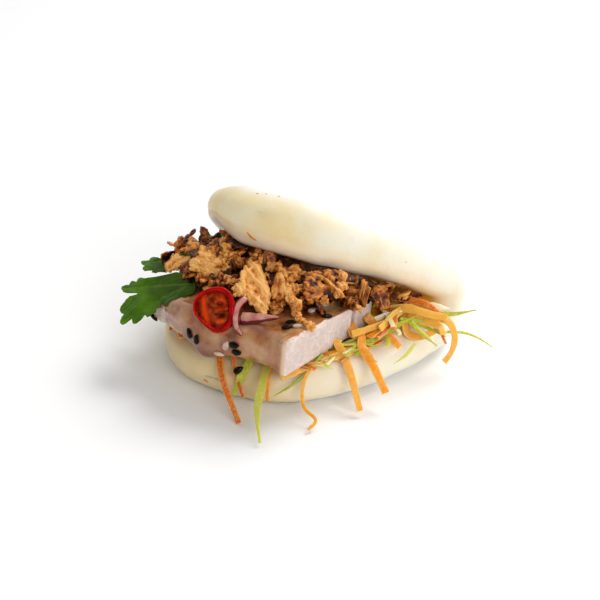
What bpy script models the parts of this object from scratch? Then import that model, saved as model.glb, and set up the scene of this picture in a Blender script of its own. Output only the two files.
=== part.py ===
"""A gua bao: a folded steamed bun that holds a glazed slab of pork with sesame seeds on shredded
carrot and greens, under a heap of fried onions with chilli, red onion and parsley.

Metres, +Z up. The mouth of the bun faces -Y and its fold runs along X. The origin is on the flat
underside of the bun."""

import math
import random

import bmesh
import bpy
from mathutils import Matrix, Vector, kdtree, noise
from mathutils.bvhtree import BVHTree

MM = 0.001
GAP = 0.35 * MM  # stays free between two pieces that touch

# The dough, measured along its own middle plane before it is folded.
DOUGH_THICKNESS = 14.9 * MM
HALF_WIDTH = 49.5 * MM  # half of the fold's length
LOWER_LENGTH = 69.9 * MM  # from the fold's arc to the lower lip
UPPER_LENGTH = 56.5 * MM  # from the fold's arc to the upper lip
LOWER_SQUARENESS = 2.34  # exponent of the outline, where 2 is an ellipse
UPPER_SQUARENESS = 2.0
FOLD_RADIUS = 9.8 * MM  # of the middle plane in the fold
FOLD_Y = 28 * MM  # the lower half ends here and the fold's arc begins
OPENING = math.radians(33.5)  # between the two halves
DOUGH_DOME = 0.4 * MM  # how far the upper half swells in its middle
DOUGH_LUMP = 0.6 * MM
DOUGH_LUMP_SIZE = 22 * MM

# The slab of pork lies on the shreds.
SLAB_LENGTH = 61.5 * MM
SLAB_DEPTH = 45 * MM
SLAB_BOTTOM = 17.6 * MM
SLAB_FRONT_THICKNESS = 13.2 * MM
SLAB_BACK_THICKNESS = 11.2 * MM
SLAB_RIGHT = 29 * MM
SLAB_FRONT = -43 * MM
SLAB_FRONT_ROUND = 5.0 * MM
SLAB_LEFT_ROUND = 7.0 * MM
SLAB_CUT_ROUND = 1.0 * MM
CREVICE_WIDTH = 1.6 * MM
CREVICE_DEPTH = 3.6 * MM
CREVICE_Y = -6.5 * MM

SESAME_LENGTH = 3.4 * MM
SESAME_WIDTH = 2.1 * MM
SESAME_THICKNESS = 1.4 * MM

# The heap of fried onions, its front edge measured at the height of the slab's top.
HEAP_HEIGHT = 8.0 * MM
FLAKE_THICKNESS = 1.5 * MM
FLAKE_COUNT = 16


def clear_scene():
    for obj in list(bpy.data.objects):
        bpy.data.objects.remove(obj)


def material(name, colour, roughness):
    made = bpy.data.materials.new(name)
    made.use_nodes = True
    shader = made.node_tree.nodes["Principled BSDF"]
    shader.inputs["Base Color"].default_value = (*colour, 1)
    shader.inputs["Roughness"].default_value = roughness
    shader.inputs["Metallic"].default_value = 0
    return made


def add_object(name, bm, finish=None):
    """Makes an object of the bmesh and frees it."""
    bmesh.ops.recalc_face_normals(bm, faces=bm.faces)
    mesh = bpy.data.meshes.new(name)
    bm.to_mesh(mesh)
    bm.free()
    mesh.shade_smooth()
    obj = bpy.data.objects.new(name, mesh)
    bpy.context.scene.collection.objects.link(obj)
    if finish is not None:
        mesh.materials.append(finish)
    return obj


def smooth_step(value, start, end):
    share = min(1, max(0, (value - start) / (end - start)))
    return share * share * (3 - 2 * share)


def squared(value, power):
    """Raises a cosine or sine so that the ellipse it draws becomes squarer."""
    return math.copysign(abs(value) ** power, value)


def lump(point, size, layer=0):
    """A gentle, repeatable unevenness between about -1 and 1."""
    shift = Vector((layer * 17.3, layer * 5.1, layer * 9.7))
    return noise.noise(Vector(point) / size + shift) * 1.6


# Bodies joined and cut


def boolean(obj, operation, others):
    """Joins the others to the object or cuts them from it, and removes them."""
    group = bpy.data.collections.new("operands")
    bpy.context.scene.collection.children.link(group)
    for other in others:
        group.objects.link(other)
    modifier = obj.modifiers.new("boolean", "BOOLEAN")
    modifier.operation = operation
    modifier.operand_type = "COLLECTION"
    modifier.collection = group
    modifier.solver = "EXACT" if operation == "UNION" else "MANIFOLD"
    bpy.context.view_layer.update()
    graph = bpy.context.evaluated_depsgraph_get()
    result = bpy.data.meshes.new_from_object(obj.evaluated_get(graph))
    obj.modifiers.clear()
    obj.data = result
    for other in others:
        bpy.data.objects.remove(other)
    bpy.data.collections.remove(group)


def mend_shared_edges(bm):
    """Where cutting left an edge with four triangles on it, two of them get a seam of their own."""
    bmesh.ops.triangulate(bm, faces=bm.faces[:])
    for edge in [edge for edge in bm.edges if len(edge.link_faces) > 2]:
        turns = {}
        for face in edge.link_faces:
            corners = list(face.verts)
            first = corners.index(edge.verts[0])
            turns[face] = corners[(first + 1) % 3] is edge.verts[1]
        ahead = [face for face, forward in turns.items() if forward]
        behind = [face for face, forward in turns.items() if not forward]
        pairs = []
        for i, one in enumerate(ahead):
            for j, other in enumerate(behind):
                pairs.append((one.normal.dot(other.normal), i, j))
        _, i, j = max(pairs)
        start, end = edge.verts
        inward = ahead[i].normal + behind[j].normal
        middle = bm.verts.new((start.co + end.co) / 2 - inward.normalized() * 0.02 * MM)
        for face, (near, far) in ((ahead[i], (start, end)), (behind[j], (end, start))):
            tip = next(vertex for vertex in face.verts if vertex not in (start, end))
            bm.faces.remove(face)
            bm.faces.new((near, middle, tip))
            bm.faces.new((middle, far, tip))


def part_touching(bm):
    """Draws vertices that lie on one another towards their own neighbours."""
    tree = kdtree.KDTree(len(bm.verts))
    for number, vertex in enumerate(bm.verts):
        tree.insert(vertex.co, number)
    tree.balance()
    moves = {}
    for vertex in bm.verts:
        if len(tree.find_range(vertex.co, 0.004 * MM)) > 1:
            around = [edge.other_vert(vertex).co for edge in vertex.link_edges]
            inward = sum(around, Vector()) / len(around) - vertex.co
            moves[vertex] = inward.normalized() * min(0.03 * MM, inward.length / 3)
    for vertex, move in moves.items():
        vertex.co += move


def keep_main_body(obj):
    """Drops loose scraps and sealed hollows."""
    bm = bmesh.new()
    bm.from_mesh(obj.data)
    left = set(bm.verts)
    bodies = []
    while left:
        body = []
        stack = [left.pop()]
        while stack:
            vertex = stack.pop()
            body.append(vertex)
            for edge in vertex.link_edges:
                other = edge.other_vert(vertex)
                if other in left:
                    left.remove(other)
                    stack.append(other)
        bodies.append(body)
    bodies.sort(key=len)
    for body in bodies[:-1]:
        bmesh.ops.delete(bm, geom=body, context="VERTS")
    mend_shared_edges(bm)
    part_touching(bm)
    bm.to_mesh(obj.data)
    bm.free()
    obj.data.shade_smooth()


def inflated(obj, distance=GAP):
    """A copy of the object, grown by the distance, that cuts a gap into a neighbour."""
    bm = bmesh.new()
    bm.from_mesh(obj.data)
    bm.normal_update()
    moves = [vertex.normal * distance * min(1.6, vertex.calc_shell_factor()) for vertex in bm.verts]
    for vertex, move in zip(bm.verts, moves):
        vertex.co += move
    return add_object("cutter", bm)


def wrapped(obj, distance=GAP):
    """A convex wrap of the object, grown by the distance, as a plain cutter."""
    bm = bmesh.new()
    for vertex in obj.data.vertices:
        bm.verts.new(vertex.co)
    hull = bmesh.ops.convex_hull(bm, input=bm.verts[:])
    spare = [item for item in hull["geom_interior"] if isinstance(item, bmesh.types.BMVert)]
    bmesh.ops.delete(bm, geom=spare, context="VERTS")
    bm.normal_update()
    moves = [vertex.normal * distance * 1.3 for vertex in bm.verts]
    for vertex, move in zip(bm.verts, moves):
        vertex.co += move
    return add_object("cutter", bm)


def surface_of(obj):
    bm = bmesh.new()
    bm.from_mesh(obj.data)
    tree = BVHTree.FromBMesh(bm)
    bm.free()
    return tree


# Basic shapes


def loop_grid(rows, closed_rows=False):
    """A body of rows of points, each row a closed loop, capped at both ends or closed in a ring."""
    bm = bmesh.new()
    loops = [[bm.verts.new(point) for point in row] for row in rows]
    count = len(rows[0])
    last = len(loops) if closed_rows else len(loops) - 1
    for i in range(last):
        near = loops[i]
        far = loops[(i + 1) % len(loops)]
        for j in range(count):
            k = (j + 1) % count
            bm.faces.new((near[j], near[k], far[k], far[j]))
    if not closed_rows:
        for loop in (loops[0], loops[-1]):
            centre = sum((vertex.co for vertex in loop), Vector()) / count
            tip = bm.verts.new(centre)
            for j in range(count):
                bm.faces.new((loop[j], loop[(j + 1) % count], tip))
    bmesh.ops.remove_doubles(bm, verts=bm.verts, dist=0.001 * MM)
    return bm


def divided_box(counts):
    """A cube from -1 to 1, cut into this many rows along each axis."""
    bm = bmesh.new()
    bmesh.ops.create_cube(bm, size=2)
    for axis, count in enumerate(counts):
        edges = []
        for edge in bm.edges:
            if abs(edge.verts[0].co[axis] - edge.verts[1].co[axis]) > 1.9:
                edges.append(edge)
        bmesh.ops.subdivide_edges(bm, edges=edges, cuts=count - 1, use_grid_fill=True)
    return bm


def bezier(start, bend, end, t):
    return start * (1 - t) ** 2 + bend * 2 * t * (1 - t) + end * t * t


def strip(points, width, thickness, outward, taper=0.7):
    """A thin band along the points. Its flat side faces the outward direction."""
    rows = []
    for i, point in enumerate(points):
        along = points[min(i + 1, len(points) - 1)] - points[max(i - 1, 0)]
        side = along.cross(outward(point)).normalized()
        face = side.cross(along).normalized()
        share = i / (len(points) - 1)
        across = width / 2 * (1 - (1 - taper) * smooth_step(share, 0.6, 1))
        deep = thickness / 2
        corners = ((-1, -1), (1, -1), (1, 1), (-1, 1))
        rows.append([point + side * across * a + face * deep * b for a, b in corners])
    return loop_grid(rows)


# Steamed bun


def dough_point(s, x, height):
    """Folds the dough: s runs along its middle plane, x along the fold, height outward."""
    turn = math.pi - OPENING
    half = FOLD_RADIUS * turn / 2
    if s < -half:
        y = FOLD_Y + s + half
        z = DOUGH_THICKNESS / 2
        normal = (0, -1)
    elif s > half:
        y = FOLD_Y + FOLD_RADIUS * math.sin(turn) + (s - half) * math.cos(turn)
        z = DOUGH_THICKNESS / 2 + FOLD_RADIUS * (1 - math.cos(turn)) + (s - half) * math.sin(turn)
        normal = (math.sin(turn), -math.cos(turn))
    else:
        angle = (s + half) / FOLD_RADIUS
        y = FOLD_Y + FOLD_RADIUS * math.sin(angle)
        z = DOUGH_THICKNESS / 2 + FOLD_RADIUS * (1 - math.cos(angle))
        normal = (math.sin(angle), -math.cos(angle))
    return Vector((x, y + normal[0] * height, z + normal[1] * height))


def dough_outline(s):
    """Half length, half width and exponent of the flat dough's outline on this side of the fold."""
    half = FOLD_RADIUS * (math.pi - OPENING) / 2
    if s < 0:
        return LOWER_LENGTH + half, HALF_WIDTH, LOWER_SQUARENESS
    return UPPER_LENGTH + half, HALF_WIDTH, UPPER_SQUARENESS


def dough_half_width(s):
    length, width, power = dough_outline(s)
    return width * max(0, 1 - (abs(s) / length) ** power) ** (1 / power)


def dough_height(s, x):
    """Half the dough's thickness at a point: full inside, round at the rim."""
    length, width, power = dough_outline(s)
    rim = DOUGH_THICKNESS / 2

    def outside(reach):
        along = abs(s) / (length - rim + reach)
        across = abs(x) / (width - rim + reach)
        return along**power + across**power > 1

    if not outside(0):
        return rim
    low, high = 0, rim
    for _ in range(24):
        middle = (low + high) / 2
        if outside(middle):
            low = middle
        else:
            high = middle
    return math.sqrt(max(0, rim * rim - high * high))


def dough_stations():
    """Places along the dough where it is cut into sections, close together at the lips and the fold."""
    half = FOLD_RADIUS * (math.pi - OPENING) / 2
    steps = (0, 0.25, 1.0, 2.4, 4.6, 7.5, 12, 18, 26, 36, 47)
    lower = [-(LOWER_LENGTH + half) + step * MM for step in (*steps, 60)]
    upper = [UPPER_LENGTH + half - step * MM for step in steps]
    fold = [half * (i / 5 - 1) for i in range(11)]
    return lower + fold + upper[::-1]


def dough_section(s):
    """Points round one section: over the outward side, then back along the inner side."""
    width = dough_half_width(s)
    scale = min(1, 0.45 * width / (DOUGH_THICKNESS / 2))
    edges = [width - step * MM * scale for step in (0, 0.57, 2.2, 4.6, 7.45)]
    inner = [edges[-1] * (1 - i / 3) for i in range(1, 6)]
    across = edges + inner + [-edge for edge in edges[::-1]]
    heights = [0] + [dough_height(s, x) for x in across[1:-1]] + [0]
    outer_side = list(zip(across, heights))
    inner_side = [(x, -height) for x, height in outer_side[-2:0:-1]]
    return outer_side + inner_side


def make_bun(finish):
    stations = dough_stations()
    rows = []
    for s in stations[1:-1]:
        row = []
        for x, height in dough_section(s):
            if s > 0 and height > 0:
                swell = (1 - (x / HALF_WIDTH) ** 2) * (height / (DOUGH_THICKNESS / 2)) ** 2
                height += DOUGH_DOME * swell * smooth_step(s, 0, 20 * MM)
            row.append(dough_point(s, x, height))
        rows.append(row)
    bm = loop_grid(rows)
    bm.verts.ensure_lookup_table()
    bm.verts[-2].co = dough_point(stations[0], 0, 0)
    bm.verts[-1].co = dough_point(stations[-1], 0, 0)
    bmesh.ops.recalc_face_normals(bm, faces=bm.faces)
    bm.normal_update()
    slope = Vector((0, math.sin(math.pi - OPENING), -math.cos(math.pi - OPENING)))
    moves = []
    for vertex in bm.verts:
        underside = smooth_step(vertex.co.z, 0, 5 * MM)
        inside = 1
        if vertex.normal.z > 0.5 and vertex.co.z < 20 * MM:
            inside = 0
        if vertex.normal.dot(slope) < -0.5 and vertex.co.z > 16 * MM:
            inside = 0
        amount = lump(vertex.co, DOUGH_LUMP_SIZE) * DOUGH_LUMP * underside * inside
        moves.append(vertex.normal * amount)
    for vertex, move in zip(bm.verts, moves):
        vertex.co += move
    return add_object("bun", bm, finish)


# Slab of pork


def slab_point(u, v, w):
    """A place on the slab for a place on a cube from -1 to 1: u along it, v to the back, w up."""
    size = Vector((SLAB_LENGTH / 2, SLAB_DEPTH / 2, SLAB_FRONT_THICKNESS / 2))
    round_x = SLAB_LEFT_ROUND if u < 0 else SLAB_CUT_ROUND
    round_y = SLAB_FRONT_ROUND if v < 0 else 2 * MM
    round_z = 4.5 * MM if v < 0 or u < 0 else 1.2 * MM
    if u > 0.9:
        round_z = 1.0 * MM
        round_y = 2.0 * MM
    rounds = Vector((round_x, round_y, round_z))
    place = Vector((u * size.x, v * size.y, w * size.z))
    core = Vector()
    for axis in range(3):
        limit = size[axis] - rounds[axis]
        core[axis] = min(limit, max(-limit, place[axis]))
    rest = place - core
    share = Vector((rest.x / rounds.x, rest.y / rounds.y, rest.z / rounds.z))
    if share.length > 1:
        share.normalize()
    place = core + Vector((share.x * rounds.x, share.y * rounds.y, share.z * rounds.z))
    # The slab thins to the back and to its left end, which is drawn back to a blunt tip.
    back = (place.y / size.y + 1) / 2
    thin = SLAB_FRONT_THICKNESS + (SLAB_BACK_THICKNESS - SLAB_FRONT_THICKNESS) * back
    left = smooth_step(-place.x, 8 * MM, SLAB_LENGTH / 2)
    thin -= 3.6 * MM * left
    height = (place.z / size.z + 1) / 2 * thin
    x = SLAB_RIGHT - SLAB_LENGTH / 2 + place.x
    y = SLAB_FRONT + SLAB_DEPTH / 2 + place.y
    y += 5.5 * MM * left * (1 - back)
    y -= 1.6 * MM * math.exp(-(((x - 2 * MM) / (9 * MM)) ** 2)) * (1 - back)
    x += 0.09 * (y - SLAB_FRONT) * smooth_step(place.x, 0, SLAB_LENGTH / 2)
    x += 1.2 * MM * (height / SLAB_FRONT_THICKNESS) * smooth_step(place.x, 0, SLAB_LENGTH / 2)
    return Vector((x, y, SLAB_BOTTOM + height))


def make_slab(finish):
    bm = divided_box((12, 10, 4))
    for vertex in bm.verts:
        u, v, w = (math.sin(c * math.pi / 2) for c in vertex.co)
        vertex.co = slab_point(u, v, w)
    bmesh.ops.recalc_face_normals(bm, faces=bm.faces)
    bm.normal_update()
    moves = []
    for vertex in bm.verts:
        free = smooth_step(vertex.co.z, SLAB_BOTTOM, SLAB_BOTTOM + 3 * MM)
        amount = lump(vertex.co, 11 * MM, 2) * 0.5 + lump(vertex.co, 5 * MM, 3) * 0.22
        moves.append(vertex.normal * amount * MM * free)
    for vertex, move in zip(bm.verts, moves):
        vertex.co += move
    slab = add_object("pork_slab", bm, finish)
    cutter = divided_box((1, 1, 6))
    face_x = SLAB_RIGHT + 0.09 * (CREVICE_Y - SLAB_FRONT) + 0.6 * MM
    for vertex in cutter.verts:
        a, b, c = vertex.co
        y = CREVICE_Y + b * CREVICE_WIDTH / 2 * (0.3 if a < 0 else 1.2) + 0.8 * MM * math.sin(c * 2.2)
        vertex.co = Vector((face_x + a * CREVICE_DEPTH, y, SLAB_BOTTOM + (8 + 9 * c) * MM))
    boolean(slab, "DIFFERENCE", [add_object("crevice", cutter)])
    return slab


def sesame_seed(centre, facing, heading):
    """One seed, lying flat with its short axis along facing."""
    bm = bmesh.new()
    bmesh.ops.create_uvsphere(bm, u_segments=5, v_segments=4, radius=1)
    up = facing.normalized()
    along = heading - up * heading.dot(up)
    along.normalize()
    frame = Matrix((along, up.cross(along), up)).transposed()
    for vertex in bm.verts:
        x, y, z = vertex.co
        # The poles are the seed's two ends, and one of them is the pointed one.
        blunt = 1 - 0.28 * z
        shape = Vector((z * SESAME_LENGTH, x * SESAME_WIDTH * blunt, y * SESAME_THICKNESS)) / 2
        vertex.co = centre + frame @ shape
    return bm


def seeds_on(surface, places):
    """Seeds sunk a little into the nearest spots of a surface."""
    made = []
    for number, place in enumerate(places):
        spot, normal, _, _ = surface.find_nearest(Vector(place) * MM)
        angle = number * 2.4
        heading = Vector((math.cos(angle), math.sin(angle), 0.35))
        centre = spot + normal * SESAME_THICKNESS * 0.22
        made.append(add_object("seed", sesame_seed(centre, normal, heading)))
    return made


# Where seeds lie on the slab: on its left tip, down its front, and along the top of the cut face.
SLAB_SEEDS = (
    (-30, -40, 23.5),
    (-5.7, -43.5, 23.9),
    (-3, -44, 21.2),
    (7.8, -43, 24),
    (10.6, -43, 22.4),
    (13, -43, 20.3),
    (6.4, -43, 21),
    (1.5, -44, 19.6),
    (24, -35, 31),
    (25, -31, 31),
    (29.6, -23.5, 30.5),
    (26.4, -24.5, 31),
    (26.5, -19, 31),
)


# Shredded carrot and greens


def bed_top(x, y):
    """The height of the bed: thin under the slab, heaped to its right and behind it."""
    right = smooth_step(x, 32 * MM, 38 * MM)
    rear = smooth_step(y, 3 * MM, 9 * MM)
    heaped = smooth_step(y, -22 * MM, 4 * MM)
    mound = max(right * (1.5 + 4.5 * heaped), rear * 5) * MM
    return SLAB_BOTTOM - GAP - 0.15 * MM + mound


def make_bed():
    """A low cushion that fills the mouth between the lower half and the slab."""
    bottom = DOUGH_THICKNESS + GAP
    rows = []
    around = 32
    levels = ((0.45, -1), (0.85, -1), (0.98, -0.7), (1.0, 0), (0.98, 0.7), (0.86, 1), (0.66, 1), (0.4, 1))
    for reach, side in levels:
        row = []
        for i in range(around):
            angle = 2 * math.pi * i / around
            x = 44 * MM * squared(math.cos(angle), 0.8) * reach
            y = -5.5 * MM + 31 * MM * squared(math.sin(angle), 0.8) * reach
            # The dough's outline curves in, and so does the bed on it.
            lean = dough_half_width(y - FOLD_Y - FOLD_RADIUS * (math.pi - OPENING) / 2)
            x = max(-lean + 6 * MM, min(lean - 5 * MM, x))
            top = bed_top(x, y) + 0.6 * MM * lump((x, y, 0), 9 * MM, 4) * smooth_step(x, 34 * MM, 38 * MM)
            middle = (bottom + top) / 2
            z = middle + side * (top - middle)
            row.append(Vector((x, y, z)))
        rows.append(row)
    return loop_grid(rows)


# Each shred: width, thickness, where it leaves the bed, where it ends, and how high it arches.
CARROT_SHREDS = (
    (2.6, 1.2, (2, -36, 16.4), (16.5, -50.5, 1.2), 0.2),
    (1.5, 1.0, (9, -36, 16.4), (12.5, -43.5, 4.5), 0.2),
    (1.4, 0.9, (20, -33, 16.4), (21, -42, 5.5), 0.2),
    (3.2, 1.2, (33, -20, 16.6), (27, -40, 14.5), 0.5),
    (1.5, 0.9, (31, -27, 16.3), (36, -43, 1.2), 0.3),
    (2.9, 1.2, (33, -19, 17), (46, -25, 2), 3.5),
    (3.3, 1.3, (34, -11, 17.5), (51, -17, 7.5), 4.5),
    (3.0, 1.2, (35, -3, 18.5), (46.5, -2.5, 13), 3.5),
    (2.6, 1.2, (38, 8, 21), (50, 10, 14.5), 1.5),
    (2.8, 1.2, (38, 12, 20), (57.5, 13, 6), 7.5),
    (1.8, 0.9, (33, 11, 21), (52, 16, 20), 2.5),
    (2.8, 1.2, (34, 6, 21), (40, -8, 18.5), 1.5),
)
GREEN_SHREDS = (
    (2.8, 0.8, (15, -34, 16.4), (9.5, -43.6, 6), 0.2),
    (2.9, 1.1, (19, -34, 16.3), (29.5, -56.5, 1.2), 0.1),
    (1.1, 0.8, (34, -24, 16.4), (25.5, -41, 8), 1.0),
    (2.3, 0.8, (38, -6, 18.4), (43, 13, 21.5), 2.0),
    (1.7, 0.8, (34, -14, 17), (44.5, -7, 15.2), 1.5),
    (1.3, 0.8, (34, -18, 16.8), (46, -10, 11), 2.5),
    (1.7, 0.8, (33, 14, 20), (58.5, 30, 17.5), 0.5),
    (1.0, 0.8, (36, 9, 17), (61, 25, 9), 4.0),
    (1.7, 0.8, (37, 5, 18.5), (51, 4, 12), 1.5),
    (1.8, 0.8, (36, 14, 21), (44, 2, 18.5), 2.0),
)


def draped(start, end, arch, surfaces, clearance, count):
    """Points of a shred that bends over the rim of the bun and keeps clear of the surfaces."""
    start = Vector(start) * MM
    end = Vector(end) * MM
    bend = start + (end - start) * 0.62
    bend.z = start.z + arch * MM
    points = []
    for i in range(count):
        point = bezier(start, bend, end, i / (count - 1))
        for _ in range(3):
            for surface in surfaces:
                spot, normal, _, _ = surface.find_nearest(point)
                free = (point - spot).dot(normal)
                if free < clearance:
                    point = spot + normal * clearance
        points.append(point)
    return points


def outward_from_bun(point):
    return Vector((point.x, point.y, 14 * MM))


def make_slaw(finish, bun, slab):
    slaw = add_object("slaw", make_bed(), finish)
    surfaces = [surface_of(bun)]
    pieces = []
    for taper, table in ((0.75, CARROT_SHREDS), (0.3, GREEN_SHREDS)):
        for width, thickness, start, end, arch in table:
            length = (Vector(end) - Vector(start)).length
            count = max(6, min(10, int(length / 2.2)))
            clearance = GAP + thickness * MM * 0.75
            points = draped(start, end, arch, surfaces, clearance, count)
            bm = strip(points, width * MM, thickness * MM, outward_from_bun, taper)
            pieces.append(add_object("shred", bm))
    boolean(slaw, "UNION", pieces)
    shred = surface_of(slaw)
    boolean(slaw, "UNION", seeds_on(shred, ((12, -43.5, 12),)))
    boolean(slaw, "DIFFERENCE", [inflated(bun)])
    boolean(slaw, "DIFFERENCE", [inflated(slab)])
    keep_main_body(slaw)
    return slaw


# Chilli, red onion and parsley


def placed(bm, centre, normal, up):
    """Turns a shape made in the XY plane so that its Z lies along normal and its Y near up."""
    z = Vector(normal).normalized()
    x = Vector(up).cross(z).normalized()
    frame = Matrix((x, z.cross(x), z)).transposed()
    for vertex in bm.verts:
        vertex.co = Vector(centre) * MM + frame @ vertex.co
    return bm


def chilli_outline(angle):
    """The slice is a rounded triangle, widest above its middle."""
    radius = 6.9 + 0.75 * math.cos(3 * (angle - math.radians(30))) + 0.55 * math.cos(2 * angle - math.pi)
    return radius * MM


def make_chilli(finish):
    wall = 2.2 * MM
    depth = 4.2 * MM
    rows = []
    for i in range(30):
        angle = 2 * math.pi * i / 30
        direction = Vector((math.cos(angle), math.sin(angle), 0))
        outer = chilli_outline(angle)
        row = []
        upper = ((0, 0.32), (0.25, 0.5), (0.8, 0.5), (1, 0.3))
        for inward, height in upper + tuple((inward, -height) for inward, height in upper[::-1]):
            row.append(direction * (outer - wall * inward) + Vector((0, 0, height * depth)))
        rows.append(row)
    ring = add_object("chilli_slice", placed_ring(rows), finish)
    web = bmesh.new()
    bmesh.ops.create_uvsphere(web, u_segments=16, v_segments=6, radius=1)
    for vertex in web.verts:
        reach = math.hypot(vertex.co.x, vertex.co.y)
        outer = chilli_outline(math.atan2(vertex.co.y, vertex.co.x)) - wall * 0.6
        x = vertex.co.x * outer
        y = vertex.co.y * outer
        z = vertex.co.z * 1.5 * MM - 0.8 * MM + 0.7 * MM * math.sin(reach * 9)
        vertex.co = Vector((x, y, z))
    hole = bmesh.new()
    bmesh.ops.create_cone(hole, cap_ends=True, segments=10, radius1=1.7 * MM, radius2=1.7 * MM, depth=12 * MM)
    for vertex in hole.verts:
        vertex.co.x = vertex.co.x * 1.3 + 0.6 * MM
        vertex.co.y = vertex.co.y * 0.8 + 2.7 * MM
    centre, normal, up = CHILLI_PLACE
    boolean(ring, "UNION", [add_object("web", placed(web, centre, normal, up))])
    boolean(ring, "DIFFERENCE", [add_object("hole", placed(hole, centre, normal, up))])
    keep_main_body(ring)
    return ring


# The chilli slice leans on the slab's rounded front edge: its centre, facing and up.
CHILLI_PLACE = ((0.0, -40.4, 32.0), (0.42, -0.62, 0.66), (-0.3, 0.35, 0.6))


def placed_ring(rows):
    bm = loop_grid(rows, closed_rows=True)
    centre, normal, up = CHILLI_PLACE
    return placed(bm, centre, normal, up)


# The red onion pieces run from a first place, bending past a second, to a third.
CRESCENT = ((7.6, -31.5, 33.6), (7.4, -44.0, 33.4), (13.0, -45.0, 28.2))
WEDGE = ((10.8, -36.9, 32.4), (15, -35.6, 32.8), (20.8, -33.2, 32.5))


def make_red_onion(name, finish, points, width, thickness, facing):
    """A sliver cut across a red onion, pointed at both ends."""
    places = [Vector(point) * MM for point in points]
    rows = []
    count = 10
    for i in range(count):
        share = i / (count - 1)
        point = bezier(places[0], places[1], places[2], share)
        ahead = bezier(places[0], places[1], places[2], share + 0.02)
        along = (ahead - point).normalized()
        side = along.cross(Vector(facing)).normalized()
        face = side.cross(along)
        full = 0.35 + 0.65 * math.sin(math.pi * share) ** 0.7
        across = width * MM / 2 * full
        deep = thickness * MM / 2 * full
        ring = ((-1, -0.6), (0, -1), (1, -0.6), (1, 0.6), (0, 1), (-1, 0.6))
        rows.append([point + side * across * a + face * deep * b for a, b in ring])
    return add_object(name, loop_grid(rows), finish)


# Where each leaf has its root, the way it points, the way it faces, and how much it droops.
LARGE_LEAF = ((-20, -27.5, 32.4), (-0.72, -0.6, -0.2), (-0.1, -0.45, 0.9), 1.5)
SMALL_LEAF = ((-36, -21, 31.5), (-0.9, 0.1, 0.1), (-0.3, -0.3, 0.9), 2.0)
# The lobes: the angle each points at, its length from the root, and its half spread.
LARGE_LOBES = ((-0.47, 28.5, 0.36), (0.17, 26.5, 0.34), (0.86, 12.5, 0.42), (-0.98, 15, 0.36), (2.6, 4, 1.2))
SMALL_LOBES = ((0, 9, 0.55), (0.75, 7, 0.45), (-0.75, 7, 0.45))


def leaf_reach(angle, lobes, teeth):
    """How far the leaf reaches from its root: lobes with rounded teeth and deep cuts between."""
    reach = 0
    for heading, length, spread in lobes:
        off = abs((angle - heading + math.pi) % (2 * math.pi) - math.pi)
        if off < spread:
            reach = max(reach, length * math.cos(off / spread * math.pi / 2) ** 0.55)
    return max(1.6, reach * (1 + 0.10 * math.sin(angle * teeth)))


def make_leaf(name, finish, place, lobes, teeth):
    """A thin wavy leaf, laid out round its root and then given its thickness."""
    root, heading, facing, droop = place
    bm = bmesh.new()
    around = 46
    centre = bm.verts.new((0, 0, 0))
    rings = []
    for share in (0.35, 0.7, 1.0):
        ring = []
        for i in range(around):
            angle = 2 * math.pi * i / around
            reach = leaf_reach(angle, lobes, teeth) * share
            ring.append(bm.verts.new((math.cos(angle) * reach, math.sin(angle) * reach, 0)))
        rings.append(ring)
    for j in range(around):
        k = (j + 1) % around
        bm.faces.new((centre, rings[0][j], rings[0][k]))
        for near, far in zip(rings, rings[1:]):
            bm.faces.new((near[j], far[j], far[k]))
            bm.faces.new((near[j], far[k], near[k]))
    z = Vector(facing).normalized()
    x = Vector(heading)
    x = (x - z * x.dot(z)).normalized()
    frame = Matrix((x, z.cross(x), z)).transposed()
    for vertex in bm.verts:
        a, b, _ = vertex.co
        wave = 0.55 * math.sin(a * 0.42 + 1) + 0.5 * math.sin(b * 0.6) + 0.35 * math.sin((a + b) * 0.9)
        fall = -droop * max(0, a) ** 2 / 400
        vertex.co = Vector(root) * MM + frame @ Vector((a, b, wave + fall)) * MM
    bmesh.ops.recalc_face_normals(bm, faces=bm.faces)
    bmesh.ops.solidify(bm, geom=bm.faces[:], thickness=0.55 * MM)
    return add_object(name, bm, finish)


# Fried onions


def heap_front(x):
    """Where the heap begins, seen from above, along the fold."""
    x = x / MM
    return (-29.5 + 0.0105 * (x + 8) ** 2 + 0.03 * max(0, x - 20) ** 2) * MM


def slab_top(y):
    back = min(1, max(0, (y - SLAB_FRONT) / SLAB_DEPTH))
    return SLAB_BOTTOM + SLAB_FRONT_THICKNESS + (SLAB_BACK_THICKNESS - SLAB_FRONT_THICKNESS) * back


def mouth_ceiling(y):
    """The height of the upper half's inner face."""
    turn = math.pi - OPENING
    y_end = FOLD_Y + FOLD_RADIUS * math.sin(turn)
    z_end = DOUGH_THICKNESS / 2 + FOLD_RADIUS * (1 - math.cos(turn))
    y_end -= math.sin(turn) * DOUGH_THICKNESS / 2
    z_end += math.cos(turn) * DOUGH_THICKNESS / 2
    return z_end + (y_end - y) * math.tan(OPENING)


def heap_top(x, y):
    inward = y - heap_front(x)
    low = smooth_step(x, 20 * MM, 42 * MM)
    floor = slab_top(y) - 6 * MM * smooth_step(x, 33 * MM, 38 * MM)
    left = smooth_step(-x, 16 * MM, 38 * MM)
    height = floor + (HEAP_HEIGHT * (1 - 0.55 * low - 0.4 * left)) * smooth_step(inward, -1.5 * MM, 6 * MM)
    height += 1.0 * MM * lump((x, y, 0), 6 * MM, 6)
    return min(height, mouth_ceiling(y) - GAP)


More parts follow.
